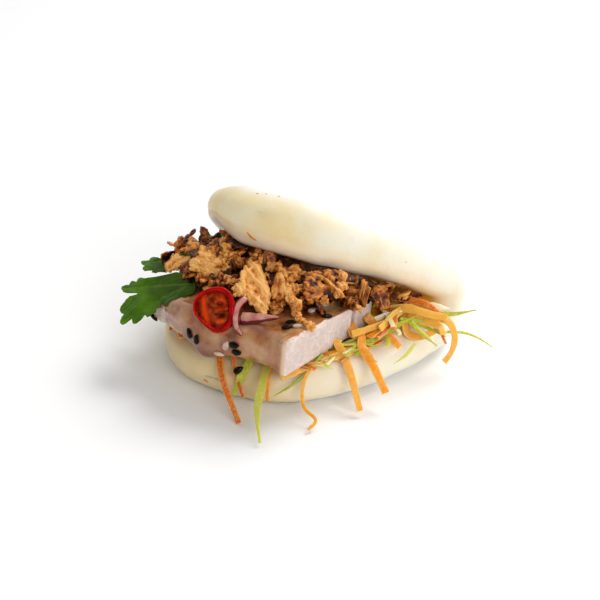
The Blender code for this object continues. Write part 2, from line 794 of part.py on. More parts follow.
def make_heap_core():
    """A mound that runs from the heap's front edge back between the slab and the upper half."""
    rows = []
    columns = 26
    for level in range(2, 9):
        row = []
        side = -1 if level < 4 else 1
        reach = {2: 0.6, 3: 0.97, 4: 1.0, 5: 0.93, 6: 0.78, 7: 0.55, 8: 0.25}[level]
        for i in range(columns):
            angle = 2 * math.pi * i / columns
            x = -2 * MM + 39 * MM * squared(math.cos(angle), 0.75) * reach
            front = heap_front(x) + 1.0 * MM
            back = 8 * MM
            middle = (front + back) / 2
            y = middle + (back - middle) * squared(math.sin(angle), 0.75) * reach
            top = heap_top(x, y)
            bottom = slab_top(y) + 0.5 * MM - 5 * MM * smooth_step(abs(x - 1 * MM), 31 * MM, 36 * MM)
            top = max(top, bottom + 1.5 * MM)
            z = bottom if side < 0 else top
            if level == 4:
                z = bottom * 0.6 + top * 0.4
            row.append(Vector((x, y, z)))
        rows.append(row)
    return loop_grid(rows)


def flake(centre, facing, length, width, seed, thickness=FLAKE_THICKNESS):
    """A crisp flake: a thin, ragged, warped plate."""
    bm = bmesh.new()
    bmesh.ops.create_uvsphere(bm, u_segments=9, v_segments=4, radius=1)
    z = facing.normalized()
    x = Vector((math.cos(seed * 2.1), math.sin(seed * 2.1), 0.2))
    x = (x - z * x.dot(z)).normalized()
    frame = Matrix((x, z.cross(x), z)).transposed()
    for vertex in bm.verts:
        a, b, c = vertex.co
        angle = math.atan2(b, a)
        reach = math.hypot(a, b)
        ragged = 1 + 0.16 * math.sin(3 * angle + seed) + 0.13 * math.sin(5 * angle + 2.2 * seed)
        a *= ragged
        b *= ragged
        warp = 0.16 * math.sin(2.6 * a + seed) + 0.14 * math.sin(3 * b + 1.7 * seed)
        height = c * thickness / 2 + warp * min(length, width) * (0.35 + 0.4 * reach)
        vertex.co = centre + frame @ Vector((a * length / 2, b * width / 2, height))
    return bm


# A curl that hangs down from the heap over the slab's cut face.
CURL = ((18, -20, 35), (24, -28, 35.5), (29.5, -29.5, 31.5))
CURL_WIDTH = 3.4 * MM

# The flakes that stand out: centre, facing, length, width and seed.
HERO_FLAKES = (
    ((-13.5, -29.5, 38.5), (0.35, -0.65, 0.67), 14, 12, 1.0),
    ((-26, -25, 37), (0.1, -0.5, 0.85), 10.5, 9, 2.0),
    ((-31, -20, 36), (-0.5, -0.4, 0.75), 11, 8, 8.0),
    ((7, -31, 36.5), (0.55, -0.65, 0.5), 19, 10, 1.55),
    ((2, -23, 40), (0.5, -0.3, 0.8), 11, 8, 4.4),
    ((14, -23, 37), (0.5, -0.5, 0.7), 9, 8, 5.0),
    ((20, -19, 35), (0.6, -0.5, 0.6), 11, 6, 2.9),
    ((26, -15, 34.5), (0.5, -0.6, 0.6), 12, 9, 3.6),
    ((31, -8, 33.5), (0.6, -0.4, 0.6), 12, 8, 6.2),
    ((35, -3, 31), (0.7, -0.3, 0.5), 10, 8, 7.1),
    ((38, 4, 29.5), (0.7, -0.2, 0.6), 10, 7, 8.3),
    ((39, 9, 29), (0.8, -0.2, 0.5), 9, 5, 9.4),
    ((-21, -17, 41.5), (-0.2, -0.4, 0.9), 12, 9, 3.1),
    ((-8, -20, 42), (0.2, -0.4, 0.9), 12, 8, 6.7),
    ((-36, -13, 33), (-0.7, -0.3, 0.6), 10, 8, 5.5),
    ((-21, -29.5, 33.5), (-0.1, -0.8, 0.6), 9, 6, 2.2),
)


def make_fried_onions(finish, neighbours, small_neighbours):
    heap = add_object("fried_onions", make_heap_core(), finish)
    chance = random.Random(7)
    pieces = []
    mound = surface_of(heap)
    for centre, facing, length, width, seed in HERO_FLAKES:
        place = Vector(centre) * MM
        spot, _, _, distance = mound.find_nearest(place)
        if distance > 0.3 * MM:
            place = spot + (place - spot) * 0.3 * MM / distance
        bm = flake(place, Vector(facing), length * MM, width * MM, seed)
        pieces.append(add_object("flake", bm))
    curl = [bezier(*(Vector(place) * MM for place in CURL), share / 7) for share in range(8)]
    pieces.append(add_object("curl", strip(curl, CURL_WIDTH, FLAKE_THICKNESS, outward_from_bun, 0.8)))
    for number in range(FLAKE_COUNT):
        x = chance.uniform(-36, 39) * MM
        y = heap_front(x) + chance.uniform(0.5, 15) * MM
        z = heap_top(x, y) + chance.uniform(-0.2, 0.9) * MM
        facing = Vector((chance.uniform(-0.8, 0.8), chance.uniform(-0.9, 0.5), 0.8))
        length = chance.uniform(6, 10) * MM
        width = length * chance.uniform(0.5, 0.8)
        pieces.append(add_object("flake", flake(Vector((x, y, z)), facing, length, width, number * 1.37)))
    boolean(heap, "UNION", pieces)
    for neighbour in neighbours:
        boolean(heap, "DIFFERENCE", [inflated(neighbour, GAP * 1.3)])
    for neighbour in small_neighbours:
        boolean(heap, "DIFFERENCE", [wrapped(neighbour)])
    keep_main_body(heap)
    return heap


def main():
    clear_scene()
    bun = make_bun(material("steamed_dough", (0.83, 0.76, 0.60), 0.55))
    slab = make_slab(material("glazed_pork", (0.55, 0.30, 0.20), 0.3))
    boolean(slab, "UNION", seeds_on(surface_of(slab), SLAB_SEEDS))
    keep_main_body(slab)
    slaw = make_slaw(material("carrot_and_greens", (0.85, 0.38, 0.05), 0.5), bun, slab)
    chilli = make_chilli(material("red_chilli", (0.45, 0.01, 0.01), 0.25))
    pale_onion = material("red_onion", (0.62, 0.35, 0.42), 0.35)
    crescent = make_red_onion("red_onion_crescent", pale_onion, CRESCENT, 2.6, 1.4, (0.4, -0.6, 0.6))
    wedge = make_red_onion("red_onion_wedge", pale_onion, WEDGE, 3.2, 1.6, (0.2, -0.4, 0.9))
    green = material("parsley", (0.06, 0.16, 0.015), 0.4)
    large = make_leaf("parsley_leaf_large", green, LARGE_LEAF, LARGE_LOBES, 17)
    small = make_leaf("parsley_leaf_small", green, SMALL_LEAF, SMALL_LOBES, 13)
    browned = material("fried_onion", (0.50, 0.25, 0.08), 0.6)
    make_fried_onions(browned, (bun, slab, slaw), (chilli, crescent, wedge, large, small))
    for neighbour in (large, small, chilli, crescent, wedge):
        boolean(neighbour, "DIFFERENCE", [inflated(slab)])
        keep_main_body(neighbour)


main()
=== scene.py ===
import math
import random

import bmesh
import bpy
from mathutils import Matrix, Vector, noise
from mathutils.bvhtree import BVHTree


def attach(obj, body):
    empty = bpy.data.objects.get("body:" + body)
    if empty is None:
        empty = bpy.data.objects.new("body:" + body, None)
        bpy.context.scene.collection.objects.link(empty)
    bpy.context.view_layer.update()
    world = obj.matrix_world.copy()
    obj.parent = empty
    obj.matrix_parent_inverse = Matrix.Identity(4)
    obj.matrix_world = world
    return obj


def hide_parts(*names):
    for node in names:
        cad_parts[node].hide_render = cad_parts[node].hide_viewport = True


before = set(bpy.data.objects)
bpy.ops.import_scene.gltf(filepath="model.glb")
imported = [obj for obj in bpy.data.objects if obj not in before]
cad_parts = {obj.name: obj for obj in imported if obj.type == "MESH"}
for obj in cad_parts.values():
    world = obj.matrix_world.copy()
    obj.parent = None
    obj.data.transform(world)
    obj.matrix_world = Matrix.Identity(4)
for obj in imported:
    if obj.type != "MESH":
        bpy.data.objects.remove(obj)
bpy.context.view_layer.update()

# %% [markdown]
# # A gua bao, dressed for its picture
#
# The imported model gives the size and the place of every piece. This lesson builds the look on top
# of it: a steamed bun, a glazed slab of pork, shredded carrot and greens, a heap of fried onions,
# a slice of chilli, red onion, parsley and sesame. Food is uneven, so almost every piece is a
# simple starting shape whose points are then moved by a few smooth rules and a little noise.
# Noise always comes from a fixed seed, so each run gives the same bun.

MM = 0.001

# %% [markdown]
# ## Colours and materials
#
# Colours are picked as hex values, as a painter would name them on a screen. The renderer works
# in linear light, so one function turns them. One more function adds a node to a material with
# its settings, its links and, on a ramp, its colours, and hands back the output that is used
# next. Each material can then be read from top to bottom.

# %% Colour and node helpers
def linear(code, alpha=1.0):
    """Turns an sRGB hex colour to linear light."""
    channels = [int(code[i : i + 2], 16) / 255 for i in (0, 2, 4)]
    return (*[c / 12.92 if c <= 0.04045 else ((c + 0.055) / 1.055) ** 2.4 for c in channels], alpha)


def add(tree, kind, links=None, stops=(), output=0, **settings):
    """Adds a node. Settings are its properties or its inputs' values, links feed its inputs."""
    node = tree.nodes.new(kind)
    for name, value in settings.items():
        if hasattr(node, name):
            setattr(node, name, value)
        else:
            node.inputs[name.replace("_", " ")].default_value = value
    for socket, source in (links or {}).items():
        tree.links.new(source, node.inputs[socket])
    if stops:
        elements = node.color_ramp.elements
        for place, code in stops[1:-1]:
            elements.new(place).color = linear(code)
        for element, (place, code) in ((elements[0], stops[0]), (elements[-1], stops[-1])):
            element.position = place
            element.color = linear(code)
    return node.outputs[output]


def new_material(name, **shader_values):
    """A material with one Principled shader. Returns the material, its tree and the shader."""
    made = bpy.data.materials.new(name)
    made.use_nodes = True
    tree = made.node_tree
    shader = tree.nodes["Principled BSDF"]
    for socket, value in shader_values.items():
        shader.inputs[socket.replace("_", " ")].default_value = value
    return made, tree, shader


print("one linearising function, one node helper")

# %% [markdown]
# ## From bmesh to piece
#
# Every piece is an object at the origin with its place in its mesh. `finish_piece` makes it,
# gives it its material, lets it ride on the model's one body and hides the plain solids that it
# stands for. Where many small shapes belong to one piece, each is made by itself and then added
# to a total, so that moving one never touches the others.

# %% Piece helpers
def smooth_step(value, start, end):
    """Runs from 0 to 1, gently at both ends, while the value goes from start to end."""
    share = min(1, max(0, (value - start) / (end - start)))
    return share * share * (3 - 2 * share)


def bell(value, centre, width):
    """A bell curve that is 1 at its centre and nearly 0 two widths away."""
    return math.exp(-(((value - centre) / width) ** 2))


def squared(value, power):
    """Raises a cosine or sine so that the ellipse it draws becomes squarer."""
    return math.copysign(abs(value) ** power, value)


def lump(point, size, layer=0):
    """A gentle, repeatable unevenness between about -1 and 1."""
    shift = Vector((layer * 17.3, layer * 5.1, layer * 9.7))
    return noise.noise(Vector(point) / size + shift) * 1.6


def crumple(point, size, layer=0):
    """Creased unevenness: flat stretches that meet in sharp folds, about -0.5 to 0.5."""
    shift = Vector((layer * 7.7, layer * 13.9, layer * 3.3))
    spot = Vector(point) / size + shift
    return 0.5 - 1.6 * abs(noise.noise(spot)) - 0.7 * abs(noise.noise(spot * 2.3))


def swell(bm, amount):
    """Moves each point along its normal by the metres that amount(point, normal) gives."""
    bm.normal_update()
    moves = [vertex.normal * amount(vertex.co, vertex.normal) for vertex in bm.verts]
    for vertex, move in zip(bm.verts, moves):
        vertex.co += move


def add_shape(total, bm, **values):
    """Adds a shape to a total, with each value written on its points as an attribute."""
    for name, value in values.items():
        layer = bm.verts.layers.float.get(name) or bm.verts.layers.float.new(name)
        for vertex in bm.verts:
            vertex[layer] = value
    scratch = bpy.data.meshes.new("scratch")
    bm.to_mesh(scratch)
    bm.free()
    total.from_mesh(scratch)
    bpy.data.meshes.remove(scratch)


def finish_piece(name, bm, finish, stands_for=(), sharp=None):
    """Turns a bmesh to a piece of the scene. Edges over the sharp angle keep their crease."""
    mesh = bpy.data.meshes.new(name)
    bmesh.ops.recalc_face_normals(bm, faces=bm.faces)
    bm.to_mesh(mesh)
    bm.free()
    mesh.shade_smooth()
    if sharp:
        mesh.set_sharp_from_angle(angle=math.radians(sharp))
    mesh.materials.append(finish)
    obj = bpy.data.objects.new(name, mesh)
    bpy.context.scene.collection.objects.link(obj)
    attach(obj, "root")
    if stands_for:
        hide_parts(*stands_for)
    print(f"{name}: {sum(len(face.vertices) - 2 for face in mesh.polygons)} triangles")
    return obj


def surface_of(obj):
    """A piece's faces as a tree that finds the nearest point or where a ray hits."""
    bm = bmesh.new()
    bm.from_mesh(obj.data)
    tree = BVHTree.FromBMesh(bm)
    bm.free()
    return tree


def push_out(point, surface, clearance):
    """Moves a point that is inside the surface, or too near, to the clearance outside it."""
    spot, normal, _, _ = surface.find_nearest(point)
    free = (point - spot).dot(normal)
    if free < clearance:
        return point + normal * (clearance - free)
    return point


def clear_of(bm, surfaces, clearance=0.15 * MM):
    """Moves points that ended inside a neighbour out to its surface."""
    for vertex in bm.verts:
        for surface in surfaces:
            vertex.co = push_out(vertex.co, surface, clearance)


print("piece helpers ready")

# %% [markdown]
# ## Camera and light
#
# The camera stands where the photographer stood: to the right of the mouth, 27 degrees up. The
# picture is high key, with one large soft light high at the back, so the left front of the bun
# falls into a warm half shade, and a weaker one at the right, where the dough nearly burns out. A
# white floor and a white room give the rest, and the room is darker behind the camera, so that
# wet things keep their deep colours. The floor catches a soft grey shadow to the left and front.

# %% Camera
CAMERA_AZIMUTH = math.radians(33.93)
CAMERA_ELEVATION = math.radians(27.28)
CAMERA_DISTANCE = 424.23 * MM
LOOK_AT = Vector((11.15, -7.6, 25.0)) * MM
FOCAL_PIXELS = 1260
PICTURE_PIXELS = 600

back = Vector(
    (
        math.sin(CAMERA_AZIMUTH) * math.cos(CAMERA_ELEVATION),
        -math.cos(CAMERA_AZIMUTH) * math.cos(CAMERA_ELEVATION),
        math.sin(CAMERA_ELEVATION),
    )
)
camera_data = bpy.data.cameras.new("camera")
camera_data.sensor_width = 36
camera_data.lens = 36 * FOCAL_PIXELS / PICTURE_PIXELS
camera_data.clip_start = 0.01
camera = bpy.data.objects.new("camera", camera_data)
camera.location = LOOK_AT + back * CAMERA_DISTANCE
camera.rotation_euler = (-back).to_track_quat("-Z", "Y").to_euler()
bpy.context.scene.collection.objects.link(camera)
bpy.context.scene.camera = camera
print("camera lens in mm:", round(camera_data.lens, 1))

# %% [markdown]
# ## Sight lines
#
# Toppings lie where the photograph shows them. A sight line runs from the camera through one of
# the picture's pixels, and a topping is put where that line meets the dough, the meat or a plane
# chosen for it. A cornered outline read off the picture can so be laid on any plane.

# %% Sight lines
view_right = Vector((math.cos(CAMERA_AZIMUTH), math.sin(CAMERA_AZIMUTH), 0))
view_up = back.cross(view_right)


def sight_line(pixel):
    """The camera's place, and the direction in which it sees the pixel."""
    half = PICTURE_PIXELS / 2
    across = view_right * (pixel[0] - half) + view_up * (half - pixel[1])
    return camera.location.copy(), (across - back * FOCAL_PIXELS).normalized()


def seen_on_plane(pixel, point, normal):
    """Where the sight line through the pixel meets a plane, in metres."""
    eye, line = sight_line(pixel)
    return eye + line * ((Vector(point) - eye).dot(normal) / line.dot(normal))


def seen_on(pixel, surfaces, otherwise):
    """The first spot of the surfaces that the pixel shows, and its normal. A pixel that misses
    them gives its spot on a plane that faces the camera through the place named otherwise."""
    eye, line = sight_line(pixel)
    best = seen_on_plane(pixel, Vector(otherwise) * MM, back)
    normal = back
    reach = math.inf
    for surface in surfaces:
        spot, facing, _, distance = surface.ray_cast(eye, line)
        if spot is not None and distance < reach:
            best, normal, reach = spot, facing, distance
    return best, normal


def plane_axes(normal):
    """Axes whose third is the normal, and whose first runs to the picture's right."""
    z = Vector(normal).normalized()
    x = (view_right - z * view_right.dot(z)).normalized()
    return Matrix((x, z.cross(x), z)).transposed()


def frame_of(normal, up):
    """Axes whose third is the normal, and whose second leans the way called up."""
    z = Vector(normal).normalized()
    x = Vector(up).cross(z).normalized()
    return Matrix((x, z.cross(x), z)).transposed()


def laid_on(outline, middle, axes):
    """Corners in mm, round the middle, of an outline in pixels that is laid on a plane."""
    flat = axes.transposed()
    spots = [seen_on_plane(pixel, middle, axes.col[2]) for pixel in outline]
    return [tuple((flat @ (spot - middle) / MM)[:2]) for spot in spots]


def corner_reach(corners, angle):
    """How far a cornered outline reaches from its middle in this direction."""
    ray = (math.cos(angle), math.sin(angle))
    reach = 0
    for start, end in zip(corners, corners[1:] + corners[:1]):
        edge = (end[0] - start[0], end[1] - start[1])
        cross = ray[0] * edge[1] - ray[1] * edge[0]
        if abs(cross) < 1e-9:
            continue
        far = (start[0] * edge[1] - start[1] * edge[0]) / cross
        along = (start[0] * ray[1] - start[1] * ray[0]) / cross
        if far > reach and -1e-6 <= along <= 1 + 1e-6:
            reach = far
    return reach


def reach_table(corners, count):
    """The reach in each of count directions, so that thousands of points can look it up."""
    return [corner_reach(list(corners), 2 * math.pi * i / count) for i in range(count)]


def looked_up(table, angle):
    """The table's reach at an angle, between its two nearest directions."""
    place = angle / (2 * math.pi) % 1 * len(table)
    low = int(place) % len(table)
    high = (low + 1) % len(table)
    return table[low] + (table[high] - table[low]) * (place - int(place))


print("picture right in the model's axes:", [round(c, 2) for c in view_right])

# %% Lights, world and floor
def soft_light(name, place, size, watts, code):
    """A square light panel that faces the food."""
    data = bpy.data.lights.new(name, "AREA")
    data.size = size
    data.energy = watts
    data.color = linear(code)[:3]
    panel = bpy.data.objects.new(name, data)
    panel.location = place
    panel.rotation_euler = (LOOK_AT - Vector(place)).to_track_quat("-Z", "Y").to_euler()
    bpy.context.scene.collection.objects.link(panel)


# Each: its place and size in metres, its watts and its colour.
soft_light("key_panel", (0.25, 1.00, 1.35), 0.9, 17.5, "FFFFFF")
soft_light("front_panel", (1.10, -0.60, 0.60), 0.8, 8.5, "FFFEFB")
world = bpy.data.worlds.new("white_studio")
world.use_nodes = True
tree = world.node_tree
around = add(tree, "ShaderNodeTexCoord", output="Generated")
facing = add(tree, "ShaderNodeVectorMath", {0: around}, output="Value", operation="DOT_PRODUCT")
facing.node.inputs[1].default_value = back
strength = add(
    tree, "ShaderNodeMapRange", {"Value": facing},
    From_Min=0.1, From_Max=0.8, To_Min=0.70, To_Max=0.25,
)
tree.links.new(strength, tree.nodes["Background"].inputs["Strength"])
tree.nodes["Background"].inputs["Color"].default_value = linear("FFFFFF")
bpy.context.scene.world = world
bpy.context.scene.view_settings.view_transform = "Standard"

FLOOR_REACH = 3
floor_bm = bmesh.new()
bmesh.ops.create_grid(floor_bm, x_segments=1, y_segments=1, size=FLOOR_REACH)
floor_mesh = bpy.data.meshes.new("floor")
floor_bm.to_mesh(floor_mesh)
floor_bm.free()
floor_finish, _, _ = new_material("white_board", Base_Color=linear("FAFAFA"), Roughness=0.9)
floor_mesh.materials.append(floor_finish)
floor = bpy.data.objects.new("floor", floor_mesh)
bpy.context.scene.collection.objects.link(floor)
print("two panels, a white world and a floor")

# %% [markdown]
# ## The steamed bun
#
# The real thing is a flat oval of leavened wheat dough, oiled, folded once and steamed, so its
# skin is smooth, matt ivory and slightly see-through, and its edge is round. It could be sculpted
# from a ball, but the fold would come out wrong. Here a sphere with its poles at the two lips is
# flattened to the oval, and every point is then laid along the folded middle plane. `s` runs
# along that plane from lip to lip, `x` along the fold, and the height is half the thickness.

# %% Dough sizes
DOUGH_THICKNESS = 14.9 * MM
DOUGH_RIM = DOUGH_THICKNESS / 2
HALF_WIDTH = 49.5 * MM
LOWER_LENGTH = 69.9 * MM
UPPER_LENGTH = 56.5 * MM
LOWER_SQUARENESS = 2.34
UPPER_SQUARENESS = 2.0
FOLD_RADIUS = 9.8 * MM
FOLD_Y = 28 * MM
OPENING = math.radians(33.5)
HALF_FOLD = FOLD_RADIUS * (math.pi - OPENING) / 2


def dough_point(s, x, height):
    """Folds the dough: s runs along its middle plane, x along the fold, height outward."""
    turn = math.pi - OPENING
    if s < -HALF_FOLD:
        y = FOLD_Y + s + HALF_FOLD
        z = DOUGH_RIM
        normal = (0, -1)
    elif s > HALF_FOLD:
        run = s - HALF_FOLD
        y = FOLD_Y + FOLD_RADIUS * math.sin(turn) + run * math.cos(turn)
        z = DOUGH_RIM + FOLD_RADIUS * (1 - math.cos(turn)) + run * math.sin(turn)
        normal = (math.sin(turn), -math.cos(turn))
    else:
        angle = (s + HALF_FOLD) / FOLD_RADIUS
        y = FOLD_Y + FOLD_RADIUS * math.sin(angle)
        z = DOUGH_RIM + FOLD_RADIUS * (1 - math.cos(angle))
        normal = (math.sin(angle), -math.cos(angle))
    return Vector((x, y + normal[0] * height, z + normal[1] * height))


def dough_outline(s):
    """The length and the squareness of the half that s is in, as of a rounded oval."""
    if s < 0:
        return LOWER_LENGTH + HALF_FOLD, LOWER_SQUARENESS
    return UPPER_LENGTH + HALF_FOLD, UPPER_SQUARENESS


def dough_half_width(s):
    """How far the oval reaches along the fold's direction at this s."""
    length, power = dough_outline(s)
    return HALF_WIDTH * max(0, 1 - (abs(s) / length) ** power) ** (1 / power)


def dough_height(s, x):
    """Half the dough's thickness at a point: full inside, round at the rim."""
    length, power = dough_outline(s)

    def outside(reach):
        along = abs(s) / (length - DOUGH_RIM + reach)
        across = abs(x) / (HALF_WIDTH - DOUGH_RIM + reach)
        return along**power + across**power > 1

    if not outside(0):
        return DOUGH_RIM
    low, high = 0, DOUGH_RIM
    for _ in range(16):
        middle = (low + high) / 2
        low, high = (middle, high) if outside(middle) else (low, middle)
    return math.sqrt(max(0, DOUGH_RIM**2 - high**2))


print("dough along its middle plane in mm:", round((LOWER_LENGTH + UPPER_LENGTH + 2 * HALF_FOLD) / MM, 1))

# %% Steamed dough material
# Wheat dough steamed in a basket: ivory, a soft satin skin, light passes a few mm into it. Its
# sides are painted yellower than its faces as painted shade, and paler towards the right as a
# painted highlight. Oil has soaked into the dough inside the fold, and the underside of the upper
# lip is painted yellower still, as painted bounce light. The lower lip's front is painted darker
# and browner, as painted shade. Faint yellow patches are 16 mm across, waves in the skin 5 mm,
# specks 1.6 mm, and pores 0.6 mm.
dough_finish, tree, shader = new_material(
    "steamed_wheat_dough",
    Roughness=0.45,
    IOR=1.4,
    Subsurface_Weight=0.3,
    Subsurface_Radius=(1.0, 0.75, 0.45),
    Subsurface_Scale=2.0 * MM,
)
coords = add(tree, "ShaderNodeTexCoord", output="Object")
# The side attribute paints shade: the dough's sides yellower than its faces, and paler to the right as a
# painted highlight.
side = add(tree, "ShaderNodeAttribute", attribute_name="side", output="Fac")
# Oil inside the fold, and painted bounce light from the heap under the upper lip.
oil_and_bounce = add(tree, "ShaderNodeAttribute", attribute_name="oil_and_bounce", output="Fac")
patches = add(tree, "ShaderNodeTexNoise", {"Vector": coords}, Scale=1 / (16 * MM), Detail=2)
face = add(
    tree, "ShaderNodeValToRGB", {"Fac": patches}, [(0.40, "F3F1EB"), (0.58, "F2EEE2"), (0.75, "F0E8D0")]
)
flank_shade = add(
    tree, "ShaderNodeValToRGB", {"Fac": patches}, [(0.35, "F5ECCF"), (0.55, "F4E4B8"), (0.75, "F0D898")]
)
skin = add(tree, "ShaderNodeMix", {0: side, 6: face, 7: flank_shade}, output=2, data_type="RGBA")
oil = add(tree, "ShaderNodeValToRGB", {"Fac": patches}, [(0.4, "F2BC3C"), (0.7, "E8A420")])
oil_and_bounce_mix = add(tree, "ShaderNodeMix", {0: oil_and_bounce, 6: skin, 7: oil}, output=2, data_type="RGBA")
# Painted shade: the lower lip's front is mixed darker and browner.
lower_lip_shade = add(tree, "ShaderNodeAttribute", attribute_name="lower_lip_shade", output="Fac")
lower_lip_shaded = add(tree, "ShaderNodeMix", {0: lower_lip_shade, 6: oil_and_bounce_mix}, output=2, data_type="RGBA")
lower_lip_shaded.node.inputs[7].default_value = linear("D9C08E")
specks = add(tree, "ShaderNodeTexNoise", {"Vector": coords}, Scale=1 / (1.6 * MM), Detail=4)
specks = add(tree, "ShaderNodeMapRange", {"Value": specks}, From_Min=0.55, From_Max=0.9, To_Max=0.22)
speckled = add(
    tree, "ShaderNodeMix", {0: specks, 6: lower_lip_shaded}, output=2, data_type="RGBA", clamp_factor=True
)
speckled.node.inputs[7].default_value = linear("D9BC7C")
tree.links.new(speckled, shader.inputs["Base Color"])
waves = add(tree, "ShaderNodeTexNoise", {"Vector": coords}, Scale=1 / (5 * MM), Detail=3)
pores = add(tree, "ShaderNodeTexNoise", {"Vector": coords}, Scale=1 / (0.6 * MM), Detail=2)
normal = add(tree, "ShaderNodeBump", {"Height": waves}, Distance=0.22 * MM)
normal = add(tree, "ShaderNodeBump", {"Height": pores, "Normal": normal}, Distance=0.03 * MM)
tree.links.new(normal, shader.inputs["Normal"])
print("dough material ready")

# %% [markdown]
# The dough is never quite even. The upper half sags, so that its lip is fuller over the middle of
# the mouth and thinner at the left end. Slow lumps swell the skin, two shallow creases run along
# the upper half's side, where the rolled edge closed, its left end is pinched, and its top has
# one dimple. The lumps fade out inside the mouth and at the flat underside. Three attributes mark
# for the material the painted shade of the sides, the oil together with painted bounce light, and
# the painted shade of the lower lip.

# %% Dough shaping
LIP_FULLER = 0.46
LIP_THINNER = 0.32
DIMPLE = seen_on_plane((255, 194), dough_point(30 * MM, 0, DOUGH_RIM), Vector((0, 0.55, 0.83)))


def dough_swelling(point, s, height):
    """How far the skin stands out from the ideal dough, in metres."""
    inside = smooth_step(-height, 0.5 * DOUGH_RIM, 0.9 * DOUGH_RIM)
    amount = lump(point, 22 * MM) * 0.7 + lump(point, 8 * MM, 1) * 0.22
    amount *= (1 - 0.85 * inside) * smooth_step(point.z, 0, 5 * MM)
    if s > 0:
        wander = 0.7 * MM * lump(point, 9 * MM, 9)
        along = smooth_step(-point.x, -26 * MM, -6 * MM) * (1 - smooth_step(-point.x, 34 * MM, 44 * MM))
        amount -= 0.20 * bell(height, -4.6 * MM + wander, 0.7 * MM) * along
        amount -= 0.12 * bell(height, -2.6 * MM - wander, 0.6 * MM) * along
        amount -= 0.45 * bell(height, 0.8 * MM, 1.4 * MM) * smooth_step(-point.x, 39 * MM, 47 * MM)
        amount -= 0.5 * bell((point - DIMPLE).length, 0, 3.5 * MM)
    return amount * MM


def lip_thickening(s, across, height):
    """The share by which the upper lip's inner side is thicker than even dough would be."""
    here = (dough_point(s, across, height) - LOOK_AT).dot(view_right) / MM
    front = smooth_step(s, 0.35 * UPPER_LENGTH, 0.95 * UPPER_LENGTH)
    fuller = smooth_step(here, -29, -17) * (1 - smooth_step(here, 5, 38))
    thinner = 1 - smooth_step(here, -31, -24)
    return (LIP_FULLER * fuller - LIP_THINNER * thinner) * front


def dough_oil_and_painted_light(s, across, height):
    """The painted shade of the side at a point, its oil with painted bounce light, and the painted shade of
    the lower lip.
    """
    # Painted shade on the sides, and a painted highlight that pales them towards the right.
    side = 1 - smooth_step(abs(height), 0.55 * DOUGH_RIM, DOUGH_RIM)
    side *= 1 - 0.7 * smooth_step(across, 0, 42 * MM)
    inside = smooth_step(-height, 0.2 * DOUGH_RIM, 0.8 * DOUGH_RIM)
    oil_and_bounce = inside * bell(s, 0, 32 * MM) * (1 - smooth_step(across, 40 * MM, 50 * MM))
    if s > 0:
        # Under the upper lip the oil mask also paints bounce light from the heap.
        return side, max(oil_and_bounce, 0.3 * smooth_step(-height, 0.3 * DOUGH_RIM, 0.9 * DOUGH_RIM)), 0
    # Painted shade on the lower lip's front.
    front = smooth_step(-s, 0.6 * LOWER_LENGTH, LOWER_LENGTH)
    return side, oil_and_bounce, 0.75 * ((1 - smooth_step(across, 14 * MM, 42 * MM)) * front)


print("upper lip thicker by up to", f"{LIP_FULLER:.0%}")


# %% Bun mesh
def make_bun():
    """Lays a fine sphere along the folded dough, with its poles at the two lips."""
    bm = bmesh.new()
    bmesh.ops.create_uvsphere(bm, u_segments=176, v_segments=250, radius=1)
    side = bm.verts.layers.float.new("side")
    oil_and_bounce = bm.verts.layers.float.new("oil_and_bounce")
    lower_lip_shade = bm.verts.layers.float.new("lower_lip_shade")
    places = {}
    for vertex in bm.verts:
        x, y, z = vertex.co
        around = math.atan2(y, x)
        s = z * (UPPER_LENGTH + HALF_FOLD if z > 0 else LOWER_LENGTH + HALF_FOLD)
        across = dough_half_width(s) * math.cos(around)
        height = math.copysign(dough_height(s, across), math.sin(around))
        if abs(math.sin(around)) < 1e-6:
            height = 0
        places[vertex] = s, height
        vertex[side], vertex[oil_and_bounce], vertex[lower_lip_shade] = dough_oil_and_painted_light(s, across, height)
        if s > 0 and height < 0:
            height *= 1 + lip_thickening(s, across, height)
        if s > 0 and height > 0:
            dome = (1 - (across / HALF_WIDTH) ** 2) * (height / DOUGH_RIM) ** 2
            height += 0.4 * MM * dome * smooth_step(s, 0, 20 * MM)
        vertex.co = dough_point(s, across, height)
    bmesh.ops.recalc_face_normals(bm, faces=bm.faces)
    bm.normal_update()
    moves = [(v, v.normal * dough_swelling(v.co, *places[v])) for v in bm.verts]
    for vertex, move in moves:
        vertex.co += move
        vertex.co.z = max(0, vertex.co.z)
    return finish_piece("steamed_bun", bm, dough_finish, ["bun"])


bun = make_bun()
bun_surface = surface_of(bun)

# %% [markdown]
# ## The slab of pork
#
# The slab is braised pork cut straight across at its right end: the cut face is pale and finely
# veined, and the outside is brown under a thin sauce that shines. A cube cut into a fine grid is
# rounded, thinned to the back and left, and roughened. Attributes mark the cut face, the deep gap
# in it, which is painted darker as painted shade, the pale rim before it, the fatty left tip and
# the places where sauce gathers, so that one material can be meat, fat or glaze.

# %% Slab sizes and shape
SLAB_LENGTH = 61.5 * MM
SLAB_DEPTH = 45 * MM
SLAB_BOTTOM = 17.6 * MM
SLAB_FRONT_THICKNESS = 13.2 * MM
SLAB_BACK_THICKNESS = 11.2 * MM
SLAB_RIGHT = 29 * MM
SLAB_FRONT = -43 * MM
CREVICE_Y = -8.0 * MM
CREVICE_DEPTH = 3.8 * MM


def divided_box(counts):
    """A cube from -1 to 1, cut into this many rows along each axis."""
    bm = bmesh.new()
    bmesh.ops.create_cube(bm, size=2)
    for axis, count in enumerate(counts):
        edges = [e for e in bm.edges if abs(e.verts[0].co[axis] - e.verts[1].co[axis]) > 1.9]
        bmesh.ops.subdivide_edges(bm, edges=edges, cuts=count - 1, use_grid_fill=True)
    return bm


